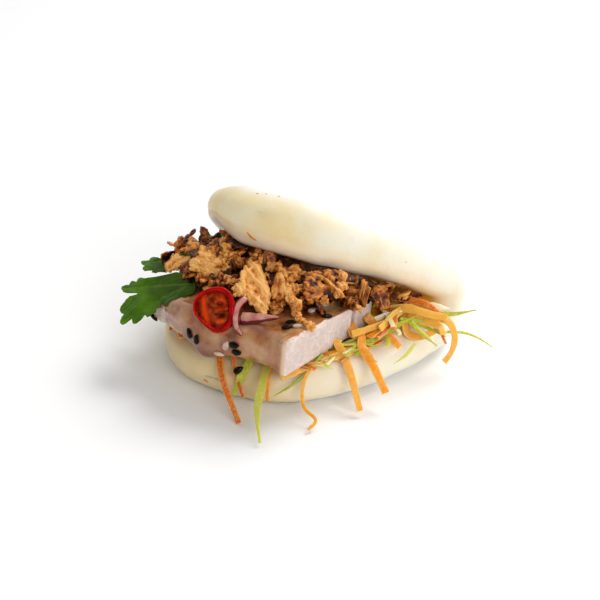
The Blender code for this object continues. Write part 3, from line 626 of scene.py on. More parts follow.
def slab_point(u, v, w):
    """A place on the slab for a place on a cube from -1 to 1: u along it, v to the back, w up."""
    size = Vector((SLAB_LENGTH / 2, SLAB_DEPTH / 2, SLAB_FRONT_THICKNESS / 2))
    rounds = Vector(
        (
            7 * MM if u < 0 else 1.2 * MM,
            5.5 * MM if v < 0 else 2 * MM,
            5.2 * MM if v < 0 or u < 0 else 1.4 * MM,
        )
    )
    if u > 0.9:
        rounds.z = 1.3 * MM
        rounds.y = 2.2 * MM
    place = Vector((u * size.x, v * size.y, w * size.z))
    core = Vector([min(size[i] - rounds[i], max(rounds[i] - size[i], place[i])) for i in range(3)])
    rest = place - core
    share = Vector([rest[i] / rounds[i] for i in range(3)])
    if share.length > 1:
        share.normalize()
    place = core + Vector([share[i] * rounds[i] for i in range(3)])
    rearward = (place.y / size.y + 1) / 2
    thin = SLAB_FRONT_THICKNESS + (SLAB_BACK_THICKNESS - SLAB_FRONT_THICKNESS) * rearward
    # The left end is thinner and bends back.
    left = smooth_step(-place.x, 8 * MM, SLAB_LENGTH / 2)
    thin -= 3.6 * MM * left
    height = (place.z / size.z + 1) / 2 * thin
    x = SLAB_RIGHT - SLAB_LENGTH / 2 + place.x
    y = SLAB_FRONT + SLAB_DEPTH / 2 + place.y
    y += 5.5 * MM * left * (1 - rearward)
    # The front bulges, and a lobe of it hangs down over the bun's lip.
    y -= 1.6 * MM * bell(x, 2 * MM, 9 * MM) * (1 - rearward)
    low = 1 - smooth_step(height, 2 * MM, 9 * MM)
    y -= 2.0 * MM * bell(x, -2 * MM, 5 * MM) * (1 - rearward) * low
    height -= 2.6 * MM * bell(x, -1 * MM, 5 * MM) * (1 - rearward) ** 2 * low
    height += 0.8 * MM * bell(x, -19 * MM, 6 * MM) * (1 - rearward) * low
    # The cut is a little askew, and leans outward at its top.
    x += 0.09 * (y - SLAB_FRONT) * smooth_step(place.x, 0, SLAB_LENGTH / 2)
    x += 1.2 * MM * (height / SLAB_FRONT_THICKNESS) * smooth_step(place.x, 0, SLAB_LENGTH / 2)
    return Vector((x, y, SLAB_BOTTOM + height))


print("slab in mm:", [round(side / MM, 1) for side in (SLAB_LENGTH, SLAB_DEPTH, SLAB_FRONT_THICKNESS)])

# %% Braised pork material
# Braised pork under a thin soy glaze. The cut face is cooked muscle: nearly white, with faint
# bent veins about 4.5 mm apart and flecks of 1.2 mm. The outside is tan with red-brown patches of
# 8 mm and yellower fat at the left tip, darker where sauce gathers, and the sauce on it is a
# clear wet coat with ripples of 3 mm.
pork_finish, tree, shader = new_material(
    "braised_pork",
    IOR=1.4,
    Subsurface_Weight=0.25,
    Subsurface_Radius=(1.0, 0.45, 0.3),
    Subsurface_Scale=1.4 * MM,
    Coat_Roughness=0.10,
)
coords = add(tree, "ShaderNodeTexCoord", output="Object")
cut = add(tree, "ShaderNodeAttribute", attribute_name="cut", output="Fac")
crevice_shade = add(tree, "ShaderNodeAttribute", attribute_name="crevice_shade", output="Fac")
fat = add(tree, "ShaderNodeAttribute", attribute_name="fat", output="Fac")
patches = add(
    tree, "ShaderNodeTexNoise", {"Vector": coords}, Scale=1 / (8 * MM), Detail=4, Roughness=0.55
)
glazed = add(
    tree,
    "ShaderNodeValToRGB",
    {"Fac": patches},
    [(0.30, "6A2A0A"), (0.40, "92501E"), (0.50, "AC703E"), (0.60, "B98758"), (0.75, "C49C6E")],
)
tip = add(
    tree, "ShaderNodeValToRGB", {"Fac": patches}, [(0.35, "84522A"), (0.55, "AC8254"), (0.7, "C0A074")]
)
outside = add(tree, "ShaderNodeMix", {0: fat, 6: glazed, 7: tip}, output=2, data_type="RGBA")
flecks = add(tree, "ShaderNodeTexNoise", {"Vector": coords}, Scale=1 / (1.2 * MM), Detail=5)
muscle = add(
    tree, "ShaderNodeValToRGB", {"Fac": flecks}, [(0.30, "CFBBB3"), (0.50, "D6C4BC"), (0.70, "DBCCC5")]
)
wander = add(tree, "ShaderNodeTexNoise", {"Vector": coords}, Scale=1 / (3 * MM), output=1)
bent = add(tree, "ShaderNodeVectorMath", {0: wander}, operation="SCALE", Scale=3 * MM)
bent = add(tree, "ShaderNodeVectorMath", {0: coords, 1: bent}, operation="ADD")
cells = add(
    tree, "ShaderNodeTexVoronoi", {"Vector": bent}, feature="DISTANCE_TO_EDGE", Scale=1 / (4.5 * MM)
)
veins = add(tree, "ShaderNodeValToRGB", {"Fac": cells}, [(0.0, "909090"), (0.08, "000000")])
flesh = add(tree, "ShaderNodeMix", {0: veins, 6: muscle}, output=2, data_type="RGBA")
flesh.node.inputs[7].default_value = linear("F8F0EA")
glaze = add(tree, "ShaderNodeAttribute", attribute_name="glaze", output="Fac")
rim = add(tree, "ShaderNodeAttribute", attribute_name="rim", output="Fac")
sticky = add(tree, "ShaderNodeMix", {0: glaze, 6: outside}, output=2, data_type="RGBA")
sticky.node.inputs[7].default_value = linear("70280A")
rimmed = add(tree, "ShaderNodeMix", {0: rim, 6: sticky}, output=2, data_type="RGBA")
rimmed.node.inputs[7].default_value = linear("DCC0A0")
# Painted shade: the crevice in the cut face is coloured a darker red.
deep = add(tree, "ShaderNodeMix", {0: crevice_shade, 6: flesh}, output=2, data_type="RGBA")
deep.node.inputs[7].default_value = linear("A85E52")
colour = add(tree, "ShaderNodeMix", {0: cut, 6: rimmed, 7: deep}, output=2, data_type="RGBA")
tree.links.new(colour, shader.inputs["Base Color"])
wet = add(tree, "ShaderNodeMapRange", {"Value": cut}, To_Min=1.0, To_Max=0.12)
tree.links.new(wet, shader.inputs["Coat Weight"])
dull = add(tree, "ShaderNodeMapRange", {"Value": cut}, To_Min=0.34, To_Max=0.55)
tree.links.new(dull, shader.inputs["Roughness"])
ripples = add(tree, "ShaderNodeTexNoise", {"Vector": coords}, Scale=1 / (3 * MM), Detail=4)
normal = add(tree, "ShaderNodeBump", {"Height": ripples}, Distance=0.40 * MM)
normal = add(tree, "ShaderNodeBump", {"Height": flecks, "Normal": normal}, Distance=0.04 * MM)
tree.links.new(normal, shader.inputs["Normal"])
print("pork material ready")


# %% Slab mesh
def make_slab():
    """Shapes the divided box to the slab, marks its parts and presses the crevice in."""
    bm = divided_box((150, 120, 34))
    cut = bm.verts.layers.float.new("cut")
    crevice_shade = bm.verts.layers.float.new("crevice_shade")
    fat = bm.verts.layers.float.new("fat")
    glaze = bm.verts.layers.float.new("glaze")
    rim = bm.verts.layers.float.new("rim")
    faces_of_cut = []
    for vertex in bm.verts:
        u, v, w = (math.sin(c * math.pi / 2) for c in vertex.co)
        vertex[cut] = smooth_step(u, 0.975, 0.998)
        if u > 0.999:
            faces_of_cut.append(vertex)
        vertex.co = slab_point(u, v, w)
        vertex[fat] = smooth_step(-vertex.co.x, 12 * MM, 26 * MM)
        wanted = smooth_step(w, 0.5, 0.95) * smooth_step(v, -1.0, -0.85)
        pooled = bell(vertex.co.x, 12 * MM, 10 * MM) + 0.5 * bell(vertex.co.x, -9 * MM, 6 * MM)
        hanging = bell(vertex.co.x, -2 * MM, 8 * MM)
        hanging *= smooth_step(-w, -0.5, 0.6) * smooth_step(-v, 0.8, 0.95)
        vertex[glaze] = 0.75 * wanted * min(1, pooled) + 0.9 * hanging
        vertex[rim] = 0.8 * smooth_step(u, 0.93, 0.965) * smooth_step(-v, 0.9, 1.0)
    for vertex in faces_of_cut:
        x, y, z = vertex.co
        up = (z - SLAB_BOTTOM) / SLAB_FRONT_THICKNESS
        middle = CREVICE_Y + (2.0 * up - 1.0 + 0.5 * lump(vertex.co, 2 * MM, 5)) * MM
        width = (0.5 + 0.8 * up) * MM
        # The crevice is marked for painted shade.
        vertex[crevice_shade] = bell(y, middle, width * 0.8)
        vertex.co.x -= CREVICE_DEPTH * bell(y, middle, width)
        vertex.co.x += 0.5 * MM * bell(y, middle - 1.8 * width, width)

    def roughening(point, normal):
        free = smooth_step(point.z, SLAB_BOTTOM, SLAB_BOTTOM + 3 * MM)
        amount = lump(point, 11 * MM, 2) * 0.6 + lump(point, 5 * MM, 3) * 0.28
        if normal.x > 0.7:
            amount += 0.05 * lump(point, 1.6 * MM, 1)
        else:
            amount += 0.10 * lump(point, 2.2 * MM, 8)
        return amount * MM * free

    swell(bm, roughening)
    clear_of(bm, (bun_surface,), 0.1 * MM)
    return finish_piece("braised_pork_slab", bm, pork_finish, ["pork_slab"])


slab = make_slab()
slab_surface = surface_of(slab)

# %% [markdown]
# ## Shredded carrot and greens
#
# Raw carrot is cut into flat ribbons and the greens into thin pointed strips, and both hang over
# the bun's rim. A short pole of eight sides, cut into rings along its length, becomes a ribbon
# when each ring is moved to its place on a path and pressed to a flat oval. A path is given by
# pixels of the picture and by its depth at both ends. It keeps clear of the bun point by point,
# so that no ribbon sinks into it.

# %% Vegetable materials
# Raw carrot: wet, orange, clear enough that light shines through its thin ribbons. Their edges
# are painted paler, a painted glow of that light. The tint runs from the root's red-orange skin
# to its pale heart, and its fibres are 0.9 mm apart.
carrot_finish, tree, shader = new_material(
    "raw_carrot",
    Roughness=0.34,
    IOR=1.4,
    Subsurface_Weight=0.45,
    Subsurface_Radius=(1.0, 0.7, 0.25),
    Subsurface_Scale=2.0 * MM,
)
coords = add(tree, "ShaderNodeTexCoord", output="Object")
tint = add(tree, "ShaderNodeAttribute", attribute_name="tint", output="Fac")
base = add(
    tree,
    "ShaderNodeValToRGB",
    {"Fac": tint},
    [(0.0, "C84406"), (0.3, "D86804"), (0.6, "EC900E"), (1.0, "F6C050")],
)
fibres = add(tree, "ShaderNodeTexNoise", {"Vector": coords}, Scale=1 / (0.9 * MM), Detail=4)
pale = add(tree, "ShaderNodeMapRange", {"Value": fibres}, From_Min=0.42, From_Max=0.75, To_Max=0.5)
streaked = add(tree, "ShaderNodeMix", {0: pale, 6: base}, output=2, data_type="RGBA")
streaked.node.inputs[7].default_value = linear("F6C86C")
# Painted glow: the ribbons' edges are mixed paler, as if lit through.
edge = add(tree, "ShaderNodeAttribute", attribute_name="edge", output="Fac")
thin = add(tree, "ShaderNodeMath", {0: edge}, operation="MULTIPLY")
thin.node.inputs[1].default_value = 0.45
colour = add(tree, "ShaderNodeMix", {0: thin, 6: streaked}, output=2, data_type="RGBA")
colour.node.inputs[7].default_value = linear("F8D284")
tree.links.new(colour, shader.inputs["Base Color"])
normal = add(tree, "ShaderNodeBump", {"Height": fibres}, Distance=0.10 * MM)
tree.links.new(normal, shader.inputs["Normal"])

# Shredded cabbage and spring onion: yellow-green where it was leaf, nearly white at the rib, with
# fibres 1.1 mm apart.
green_finish, tree, shader = new_material(
    "shredded_greens",
    Roughness=0.34,
    IOR=1.4,
    Subsurface_Weight=0.35,
    Subsurface_Radius=(0.8, 1.0, 0.3),
    Subsurface_Scale=1.0 * MM,
)
coords = add(tree, "ShaderNodeTexCoord", output="Object")
tint = add(tree, "ShaderNodeAttribute", attribute_name="tint", output="Fac")
base = add(
    tree,
    "ShaderNodeValToRGB",
    {"Fac": tint},
    [(0.0, "8C9A0C"), (0.35, "C0BE20"), (0.7, "E2DA78"), (1.0, "F3EBCB")],
)
fibres = add(tree, "ShaderNodeTexNoise", {"Vector": coords}, Scale=1 / (1.1 * MM), Detail=4)
pale = add(tree, "ShaderNodeMapRange", {"Value": fibres}, From_Min=0.5, From_Max=0.8, To_Max=0.5)
colour = add(tree, "ShaderNodeMix", {0: pale, 6: base}, output=2, data_type="RGBA")
colour.node.inputs[7].default_value = linear("EEE9B4")
tree.links.new(colour, shader.inputs["Base Color"])
normal = add(tree, "ShaderNodeBump", {"Height": fibres}, Distance=0.10 * MM)
tree.links.new(normal, shader.inputs["Normal"])
print("vegetable materials ready")

# %% Shreds read off the picture
# Each: width and thickness in mm, the depths given by one place near its start and one near its
# end, the pixels it passes through, and its tint.
CARROT_SHREDS = (
    (2.4, 0.9, (2, -36, 16.4), (16.5, -50.5, 1.2), ((220, 352), (221, 372), (227, 392), (239, 423)), 0.28),
    (1.4, 0.8, (9, -36, 16.4), (12.5, -43.5, 4.5), ((233, 355), (237, 375), (243, 397)), 0.2),
    (1.3, 0.8, (20, -33, 16.4), (21, -42, 5.5), ((270, 366), (268, 384), (267, 401)), 0.5),
    (3.2, 0.8, (33, -20, 16.6), (27, -40, 14.5), ((328, 353), (311, 363), (297, 370), (281, 376)), 0.75),
    (
        1.3, 0.7, (31, -27, 16.3), (36, -43, 1.2),
        ((316, 362), (306, 376), (302, 392), (304, 408), (313, 416), (316, 422), (308, 430)), 0.75,
    ),
    (2.7, 0.8, (33, -19, 17), (46, -25, 2), ((333, 338), (344, 356), (352, 380), (360, 411)), 0.75),
    (3.2, 0.9, (34, -11, 17.5), (51, -17, 7.5), ((348, 326), (360, 345), (372, 364), (386, 393)), 0.62),
    (3.0, 0.9, (35, -3, 18.5), (46.5, -2.5, 13), ((364, 314), (376, 326), (388, 336), (400, 347)), 0.66),
    (
        2.6, 0.8, (38, 8, 21), (50, 10, 14.5),
        ((404, 322), (407, 333), (418, 337), (431, 333), (438, 328)), 0.75,
    ),
    (
        2.7, 0.8, (38, 12, 20), (57.5, 13, 6),
        ((417, 316), (436, 318), (449, 322), (455, 336), (452, 351), (444, 362)), 0.8,
    ),
    (2.2, 0.9, (33, 11, 21), (52, 16, 20), ((402, 298), (414, 301), (428, 305), (440, 313)), 0.32),
    (3.0, 0.8, (36, 8, 20.5), (51, 11, 18.5), ((390, 310), (406, 308), (424, 313), (447, 318)), 0.85),
    (2.6, 0.8, (38, 11, 20.5), (50, 13, 19.5), ((402, 315), (420, 317), (440, 321)), 0.95),
    (3.0, 0.7, (40, 14, 21), (52, 15, 19.5), ((418, 309), (432, 313), (449, 320)), 0.8),
    (2.8, 0.7, (34, 6, 21), (40, -8, 18.5), ((402, 309), (391, 318), (380, 329)), 0.85),
    (2.6, 0.7, (40, 8, 20), (51, 8, 16), ((408, 318), (426, 322), (440, 327), (443, 335)), 0.85),
    (0.9, 0.7, (50, 8, 15), (53, 7, 12), ((440, 331), (446, 344)), 0.1),
    (2.2, 0.7, (36, -14, 18), (42, -2, 19), ((352, 334), (368, 329), (386, 322)), 0.8),
    (1.6, 0.8, (-34, -6, 36), (-30, -2, 37), ((219, 231), (226, 233), (234, 236)), 0.3),
)
GREEN_SHREDS = (
    (2.8, 0.7, (15, -34, 16.4), (9.5, -43.6, 6), ((250, 360), (241, 378), (233, 396)), 0.2),
    (2.7, 0.9, (19, -34, 16.3), (29.5, -56.5, 1.2), ((267, 366), (262, 386), (257, 412), (260, 443)), 0.5),
    (1.1, 0.7, (34, -24, 16.4), (25.5, -41, 8), ((322, 354), (307, 372), (291, 386), (274, 396)), 0.1),
    (2.0, 0.7, (38, -8, 20.0), (43, 10, 23.5), ((366, 343), (384, 333), (400, 324), (418, 315)), 0.2),
    (1.6, 0.7, (34, -14, 17), (44.5, -7, 15.2), ((345, 348), (360, 343), (378, 347)), 0.3),
    (1.2, 0.7, (34, -18, 16.8), (46, -10, 11), ((338, 348), (352, 351), (365, 355), (377, 362)), 0.2),
    (1.5, 0.7, (33, 14, 20), (58.5, 30, 17.5), ((428, 312), (452, 314), (476, 310)), 0.3),
    (0.9, 0.6, (36, 9, 17), (55, 34, 3), ((432, 331), (450, 332), (465, 333), (480, 339), (492, 347)), 0.35),
    (1.6, 0.7, (37, 3, 20), (51, 2, 12), ((408, 320), (423, 334), (437, 346)), 0.3),
    (1.0, 0.5, (49, 2, 14), (50, -8, 6), ((415, 344), (406, 355), (394, 364)), 0.55),
    (2.8, 0.8, (40, 16, 21), (48, 20, 21), ((420, 305), (436, 307), (450, 309)), 1.0),
    (1.8, 0.7, (36, -3, 18.5), (40, 8, 21), ((372, 321), (386, 315), (402, 311)), 1.0),
    (1.6, 0.7, (46, 10, 18), (50, 10, 16), ((439, 325), (447, 332)), 1.0),
    (1.1, 0.7, (40, 8, 20), (50, 8, 14), ((410, 320), (428, 328), (446, 337)), 0.25),
    (1.4, 0.7, (33, -16, 17.5), (40, -4, 19), ((330, 350), (352, 341), (374, 333)), 0.15),
    (1.2, 0.6, (44, 6, 20), (50, 14, 18.5), ((400, 319), (418, 321), (436, 318)), 0.2),
    (1.5, 0.6, (-33, -6, 35), (-29, -2, 36), ((221, 234), (229, 236), (237, 238)), 0.2),
)
print(f"{len(CARROT_SHREDS)} carrot shreds and {len(GREEN_SHREDS)} green ones show in the picture")


# %% Paths and ribbons
def path_through(pixels, start, end, count):
    """A smooth path whose picture passes the pixels, and whose depth runs from start to end."""
    knots = []
    for number, pixel in enumerate(pixels):
        share = number / (len(pixels) - 1)
        near = (Vector(start) + (Vector(end) - Vector(start)) * share) * MM
        knots.append(seen_on_plane(pixel, near, back))
    knots = [knots[0] * 2 - knots[1], *knots, knots[-1] * 2 - knots[-2]]
    points = []
    for i in range(count):
        place = i / (count - 1) * (len(knots) - 3)
        number = min(int(place), len(knots) - 4)
        t = place - number
        a, b, c, d = knots[number : number + 4]
        bend = (a * 2 - b * 5 + c * 4 - d) * t + (b * 3 - a - c * 3 + d) * t * t
        points.append(b + ((c - a) + bend) * t / 2)
    return points


def kept_clear(points, surfaces, clearance):
    """The path, moved off the surfaces, smoothed twice and moved off them again."""
    for smoothings in (2, 0):
        for surface in surfaces:
            points = [push_out(point, surface, clearance) for point in points]
        for _ in range(smoothings):
            threes = zip(points, points[1:], points[2:])
            points = [points[0], *[(a + b * 2 + c) / 4 for a, b, c in threes], points[-1]]
    return points


def ribbon(points, width, thickness, facing, taper, seed):
    """A flat strip along the points, narrowing to taper at its end, with wavy edges."""
    count = len(points)
    bm = bmesh.new()
    bmesh.ops.create_cone(bm, cap_ends=True, segments=8, radius1=1, radius2=1, depth=2)
    long_edges = [e for e in bm.edges if abs(e.verts[0].co.z - e.verts[1].co.z) > 1]
    bmesh.ops.subdivide_edges(bm, edges=long_edges, cuts=count - 2)
    glow_edge_layer = bm.verts.layers.float.new("edge")
    frames = []
    for i, point in enumerate(points):
        along = (points[min(i + 1, count - 1)] - points[max(i - 1, 0)]).normalized()
        side = along.cross(facing(point)).normalized()
        frames.append((point, side, side.cross(along).normalized()))
    for vertex in bm.verts:
        place = (vertex.co.z + 1) / 2
        point, side, face = frames[round(place * (count - 1))]
        angle = math.atan2(vertex.co.y, vertex.co.x) + math.pi / 8
        # Edge points are marked for a painted glow along the ribbon's edges.
        vertex[glow_edge_layer] = 1 if abs(math.cos(angle)) > 0.7 else 0
        narrow = 1 - (1 - taper) * smooth_step(place, 0.45, 1)
        edge = 1 + 0.10 * lump((place * 6, seed * 3.1, math.copysign(1, math.cos(angle))), 1)
        across = squared(math.cos(angle), 0.4) * width / 2 * narrow * edge
        deep = squared(math.sin(angle), 0.4) * thickness / 2 * (0.5 + 0.5 * narrow)
        twist = 0.18 * width * lump((place * 3, seed * 1.7, 0), 1) * math.cos(angle)
        vertex.co = point + side * across + face * (deep + twist)
    return bm


def outward_from_bun(point):
    """The way a hanging ribbon's flat face looks: half out of the bun, half to the camera."""
    return Vector((point.x, point.y, 14 * MM)).normalized() * 0.6 + back * 0.6


print("paths and ribbons ready")

# %% The bed under the slab
BED_MIDDLE_Y = -5.5 * MM
BED_REACH_X = 43 * MM
BED_REACH_Y = 30.5 * MM


def bed_top(x, y):
    """The bed's height: level under the slab, heaped at its right and behind it."""
    right = smooth_step(x, 32 * MM, 38 * MM)
    rear = smooth_step(y, 3 * MM, 9 * MM)
    heaped = smooth_step(y, -22 * MM, 4 * MM)
    mound = max(right * (1.5 + 4.5 * heaped), rear * 5) * MM
    return SLAB_BOTTOM - 0.5 * MM + mound


def bezier(start, bend, end, t):
    """A place on the curve from start to end that is drawn towards bend."""
    return start * (1 - t) ** 2 + bend * 2 * t * (1 - t) + end * t * t


def bed_shreds(seed, count, widths):
    """Random short shreds that make up the bed itself: (points, width, thickness) for each."""
    chance = random.Random(seed)
    made = []
    for _ in range(count):
        angle = chance.uniform(-math.pi, math.pi)
        reach = chance.uniform(0.84, 0.98)
        if math.sin(angle) > 0.3:
            reach = chance.uniform(0.55, 0.98)
        x = BED_REACH_X * squared(math.cos(angle), 0.8) * reach
        y = BED_MIDDLE_Y + BED_REACH_Y * squared(math.sin(angle), 0.8) * reach
        half_width = dough_half_width(y - FOLD_Y - HALF_FOLD)
        x = max(-half_width + 6 * MM, min(half_width - 5 * MM, x))
        top = bed_top(x, y)
        z = DOUGH_THICKNESS + 1 * MM + (top - DOUGH_THICKNESS - 1 * MM) * chance.uniform(0, 0.9)
        if reach < 0.84:
            z = top + chance.uniform(-0.4, 0.6) * MM
        turn = angle + math.pi / 2 + chance.uniform(-0.7, 0.7)
        half = Vector((math.cos(turn), math.sin(turn), chance.uniform(-0.12, 0.12)))
        half *= chance.uniform(4, 9) * MM
        centre = Vector((x, y, z))
        bend = centre + Vector((math.cos(angle), math.sin(angle), 0.1)) * chance.uniform(0, 3) * MM
        points = [bezier(centre - half, bend, centre + half, i / 9) for i in range(10)]
        points = kept_clear(points, (bun_surface, slab_surface), 0.8 * MM)
        made.append((points, chance.uniform(*widths) * MM, chance.uniform(0.5, 0.8) * MM))
    return made


def make_shreds(name, finish, table, taper, seed, count, widths):
    """One piece: the shreds of a table, and count random short ones for the bed."""
    total = bmesh.new()
    for number, (width, thickness, start, end, pixels, tint) in enumerate(table):
        points = path_through(pixels, start, end, 26)
        points = kept_clear(points, (bun_surface, slab_surface), (0.3 + thickness * 0.6) * MM)
        bm = ribbon(points, width * MM, thickness * MM, outward_from_bun, taper, number + seed)
        for vertex in bm.verts:
            vertex.co.z = max(0.05 * MM, vertex.co.z)
        add_shape(total, bm, tint=tint)
    chance = random.Random(seed)
    for points, width, thickness in bed_shreds(seed, count, widths):
        bm = ribbon(points, width, thickness, lambda point: Vector((0, 0, 1)), 0.9, chance.random() * 9)
        add_shape(total, bm, tint=chance.uniform(0.1, 0.9))
    return finish_piece(name, total, finish, ["slaw"], sharp=50)


make_shreds("carrot_shreds", carrot_finish, CARROT_SHREDS, 0.8, 11, 70, (1.4, 3.0))
make_shreds("green_shreds", green_finish, GREEN_SHREDS, 0.3, 12, 80, (0.7, 1.8))


# %% Bed core
def make_bed_core():
    """A low cushion that fills the mouth under the shreds, so that no light shows through."""
    bm = bmesh.new()
    bmesh.ops.create_uvsphere(bm, u_segments=64, v_segments=16, radius=1)
    tint = bm.verts.layers.float.new("tint")
    for vertex in bm.verts:
        a, b, c = vertex.co
        angle = math.atan2(b, a)
        reach = math.hypot(a, b) ** 0.6
        x = (BED_REACH_X - 2 * MM) * squared(math.cos(angle), 0.8) * reach
        y = BED_MIDDLE_Y + (BED_REACH_Y - 2.5 * MM) * squared(math.sin(angle), 0.8) * reach
        half_width = dough_half_width(y - FOLD_Y - HALF_FOLD)
        x = max(-half_width + 8 * MM, min(half_width - 7 * MM, x))
        bottom = DOUGH_THICKNESS + 0.3 * MM
        top = bed_top(x, y) - 0.6 * MM
        z = (bottom + top) / 2 + (top - bottom) / 2 * squared(c, 0.3)
        vertex[tint] = 0.5
        vertex.co = Vector((x, y, z))
    return finish_piece("shred_bed_core", bm, carrot_finish, ["slaw"])


make_bed_core()

# %% [markdown]
# ## The chilli slice
#
# A red chilli cut across: a glossy ring whose wall is thickest on the right, an orange-brown
# membrane inside with bright orange pith, and two hollow chambers. Spinning a small circle gives
# the ring, and each point is then moved out to this chilli's outline, an oval that narrows to the
# bottom. The membrane is a flattened sphere with two hollows pressed into it.

# %% Chilli sizes and material
CHILLI_CENTRE = Vector((0.0, -40.4, 32.0)) * MM + back * 1.6 * MM + view_right * 0.9 * MM
CHILLI_NORMAL = Vector((0.42, -0.70, 0.56))
CHILLI_DEPTH = 4.0 * MM
CHILLI_TURN = math.radians(24)
CHILLI_HALF_WIDTH = 6.5
CHILLI_HALF_HEIGHT = 7.5

# Ripe red chilli: deep red, smooth and wet. The core attribute turns it to the orange-brown
# membrane, whose blotches are 1.5 mm, the pith attribute to bright orange, and the hollows are
# painted nearly black, as painted shade.
chilli_finish, tree, shader = new_material(
    "ripe_chilli",
    Specular_IOR_Level=0.08,
    Roughness=0.28,
    IOR=1.45,
    Subsurface_Weight=0.05,
    Subsurface_Radius=(1.0, 0.1, 0.05),
    Subsurface_Scale=0.8 * MM,
    Coat_Weight=0.08,
    Coat_Roughness=0.06,
)
coords = add(tree, "ShaderNodeTexCoord", output="Object")
core = add(tree, "ShaderNodeAttribute", attribute_name="core", output="Fac")
hole = add(tree, "ShaderNodeAttribute", attribute_name="hole", output="Fac")
broad = add(tree, "ShaderNodeTexNoise", {"Vector": coords}, Scale=1 / (3 * MM))
skin = add(tree, "ShaderNodeValToRGB", {"Fac": broad}, [(0.35, "920000"), (0.65, "BC0200")])
small = add(tree, "ShaderNodeTexNoise", {"Vector": coords}, Scale=1 / (1.5 * MM))
inner = add(
    tree, "ShaderNodeValToRGB", {"Fac": small}, [(0.35, "661806"), (0.52, "8A2E0C"), (0.70, "A84A1A")]
)
pith = add(tree, "ShaderNodeAttribute", attribute_name="pith", output="Fac")
lit = add(tree, "ShaderNodeMix", {0: pith, 6: inner}, output=2, data_type="RGBA")
lit.node.inputs[7].default_value = linear("E8480C")
# Painted shade: the hollows are mixed nearly black.
holed = add(tree, "ShaderNodeMix", {0: hole, 6: lit}, output=2, data_type="RGBA")
holed.node.inputs[7].default_value = linear("3A0602")
colour = add(tree, "ShaderNodeMix", {0: core, 6: skin, 7: holed}, output=2, data_type="RGBA")
tree.links.new(colour, shader.inputs["Base Color"])
normal = add(tree, "ShaderNodeBump", {"Height": small}, Distance=0.12 * MM)
tree.links.new(normal, shader.inputs["Normal"])
print("chilli material ready")


# %% Chilli slice
def chilli_outline(angle):
    """The ring's outer edge: an oval, drawn in below, and leaning a little."""
    angle -= CHILLI_TURN
    wide = CHILLI_HALF_WIDTH * math.cos(angle) * (1 + 0.30 * math.sin(angle))
    return math.hypot(wide, CHILLI_HALF_HEIGHT * math.sin(angle)) * MM


def chilli_wall():
    """The ring: a small circle, spun, whose points are then moved out to the outline."""
    ring = bmesh.new()
    circle = bmesh.ops.create_circle(ring, segments=20, radius=1)
    for vertex in circle["verts"]:
        a, b, _ = vertex.co
        vertex.co = Vector((3 + a, 0, b))
    bmesh.ops.spin(
        ring, geom=ring.verts[:] + ring.edges[:], axis=(0, 0, 1), cent=(0, 0, 0), steps=96,
        angle=2 * math.pi, use_merge=True,
    )
    for vertex in ring.verts:
        angle = math.atan2(vertex.co.y, vertex.co.x)
        ray = (math.cos(angle), math.sin(angle))
        inward = 0.5 - squared(math.hypot(vertex.co.x, vertex.co.y) - 3, 0.75) / 2
        height = squared(vertex.co.z, 0.75) / 2 * (1 - 0.2 * inward)
        wall = (1.55 + 0.65 * ray[0] + 0.15 * lump((*ray, 0), 0.6)) * MM
        reach = chilli_outline(angle) - wall * inward
        reach += 0.15 * MM * lump((ray[0] * 2, ray[1] * 2, inward), 1, 3)
        vertex.co = Vector((ray[0] * reach, ray[1] * reach, height * CHILLI_DEPTH))
    bmesh.ops.recalc_face_normals(ring, faces=ring.faces)
    return ring


def chilli_membrane():
    """The inside: a flattened sphere with two hollows, the seeds' bed, and bright pith."""
    web = bmesh.new()
    bmesh.ops.create_uvsphere(web, u_segments=64, v_segments=40, radius=1)
    core = web.verts.layers.float.new("core")
    hole = web.verts.layers.float.new("hole")
    pith = web.verts.layers.float.new("pith")
    for vertex in web.verts:
        a, b, c = vertex.co
        outer = (chilli_outline(math.atan2(b, a)) - 0.9 * MM) / MM
        x, y = a * outer, b * outer
        upper = bell(x, 1.2, 1.7) * bell(y, 2.4, 1.3)
        lower = bell(x, 1.6, 1.5) * bell(y, -1.4, 1.0)
        seedbed = bell(x, 1.4, 1.0) * bell(y, 3.4, 0.7)
        z = c * 1.3 - 1.1 + 0.5 * lump((x, y, 0), 2.2, 6) + 1.0 * bell(y, 0.3, 0.7) * bell(x, 1.5, 2.5)
        z += 1.1 * seedbed
        strip = bell(x + 0.2 * y, -3.6, 0.9) * smooth_step(y, -6, -4)
        bulb = bell(x, 1.6, 1.5) * bell(y, 2.6, 1.7)
        foot = bell(x, 1.8, 2.0) * bell(y, -3.4, 0.8)
        vertex[core] = 1
        vertex[pith] = min(1, strip + bulb + foot)
        # The hollows are marked for painted shade.
        vertex[hole] = max(smooth_step(upper, 0.4, 0.9) * (1 - seedbed), smooth_step(lower, 0.4, 0.9))
        pressed = (1.7 * upper + 1.6 * lower) * (1 if c > 0 else 0.2)
        vertex.co = Vector((x, y, z - pressed)) * MM
    bmesh.ops.recalc_face_normals(web, faces=web.faces)
    return web


def make_chilli():
    """Joins the ring and its inside, and leans them against the slab."""
    total = bmesh.new()
    add_shape(total, chilli_wall(), core=0.0, hole=0.0, pith=0.0)
    add_shape(total, chilli_membrane())
    axes = plane_axes(CHILLI_NORMAL)
    for vertex in total.verts:
        vertex.co = CHILLI_CENTRE + axes @ vertex.co
    clear_of(total, (slab_surface,), 0.05 * MM)
    return finish_piece("chilli_ring", total, chilli_finish, ["chilli_slice"])


make_chilli()

# %% [markdown]
# ## Red onion
#
# Two slivers of raw red onion: each is cut across the bulb, so it is pinkish white between purple
# edges. A sphere drawn out along a path, with its poles at the two tips, closes by itself. The
# wedge is widest at its left and has one thick purple edge below.

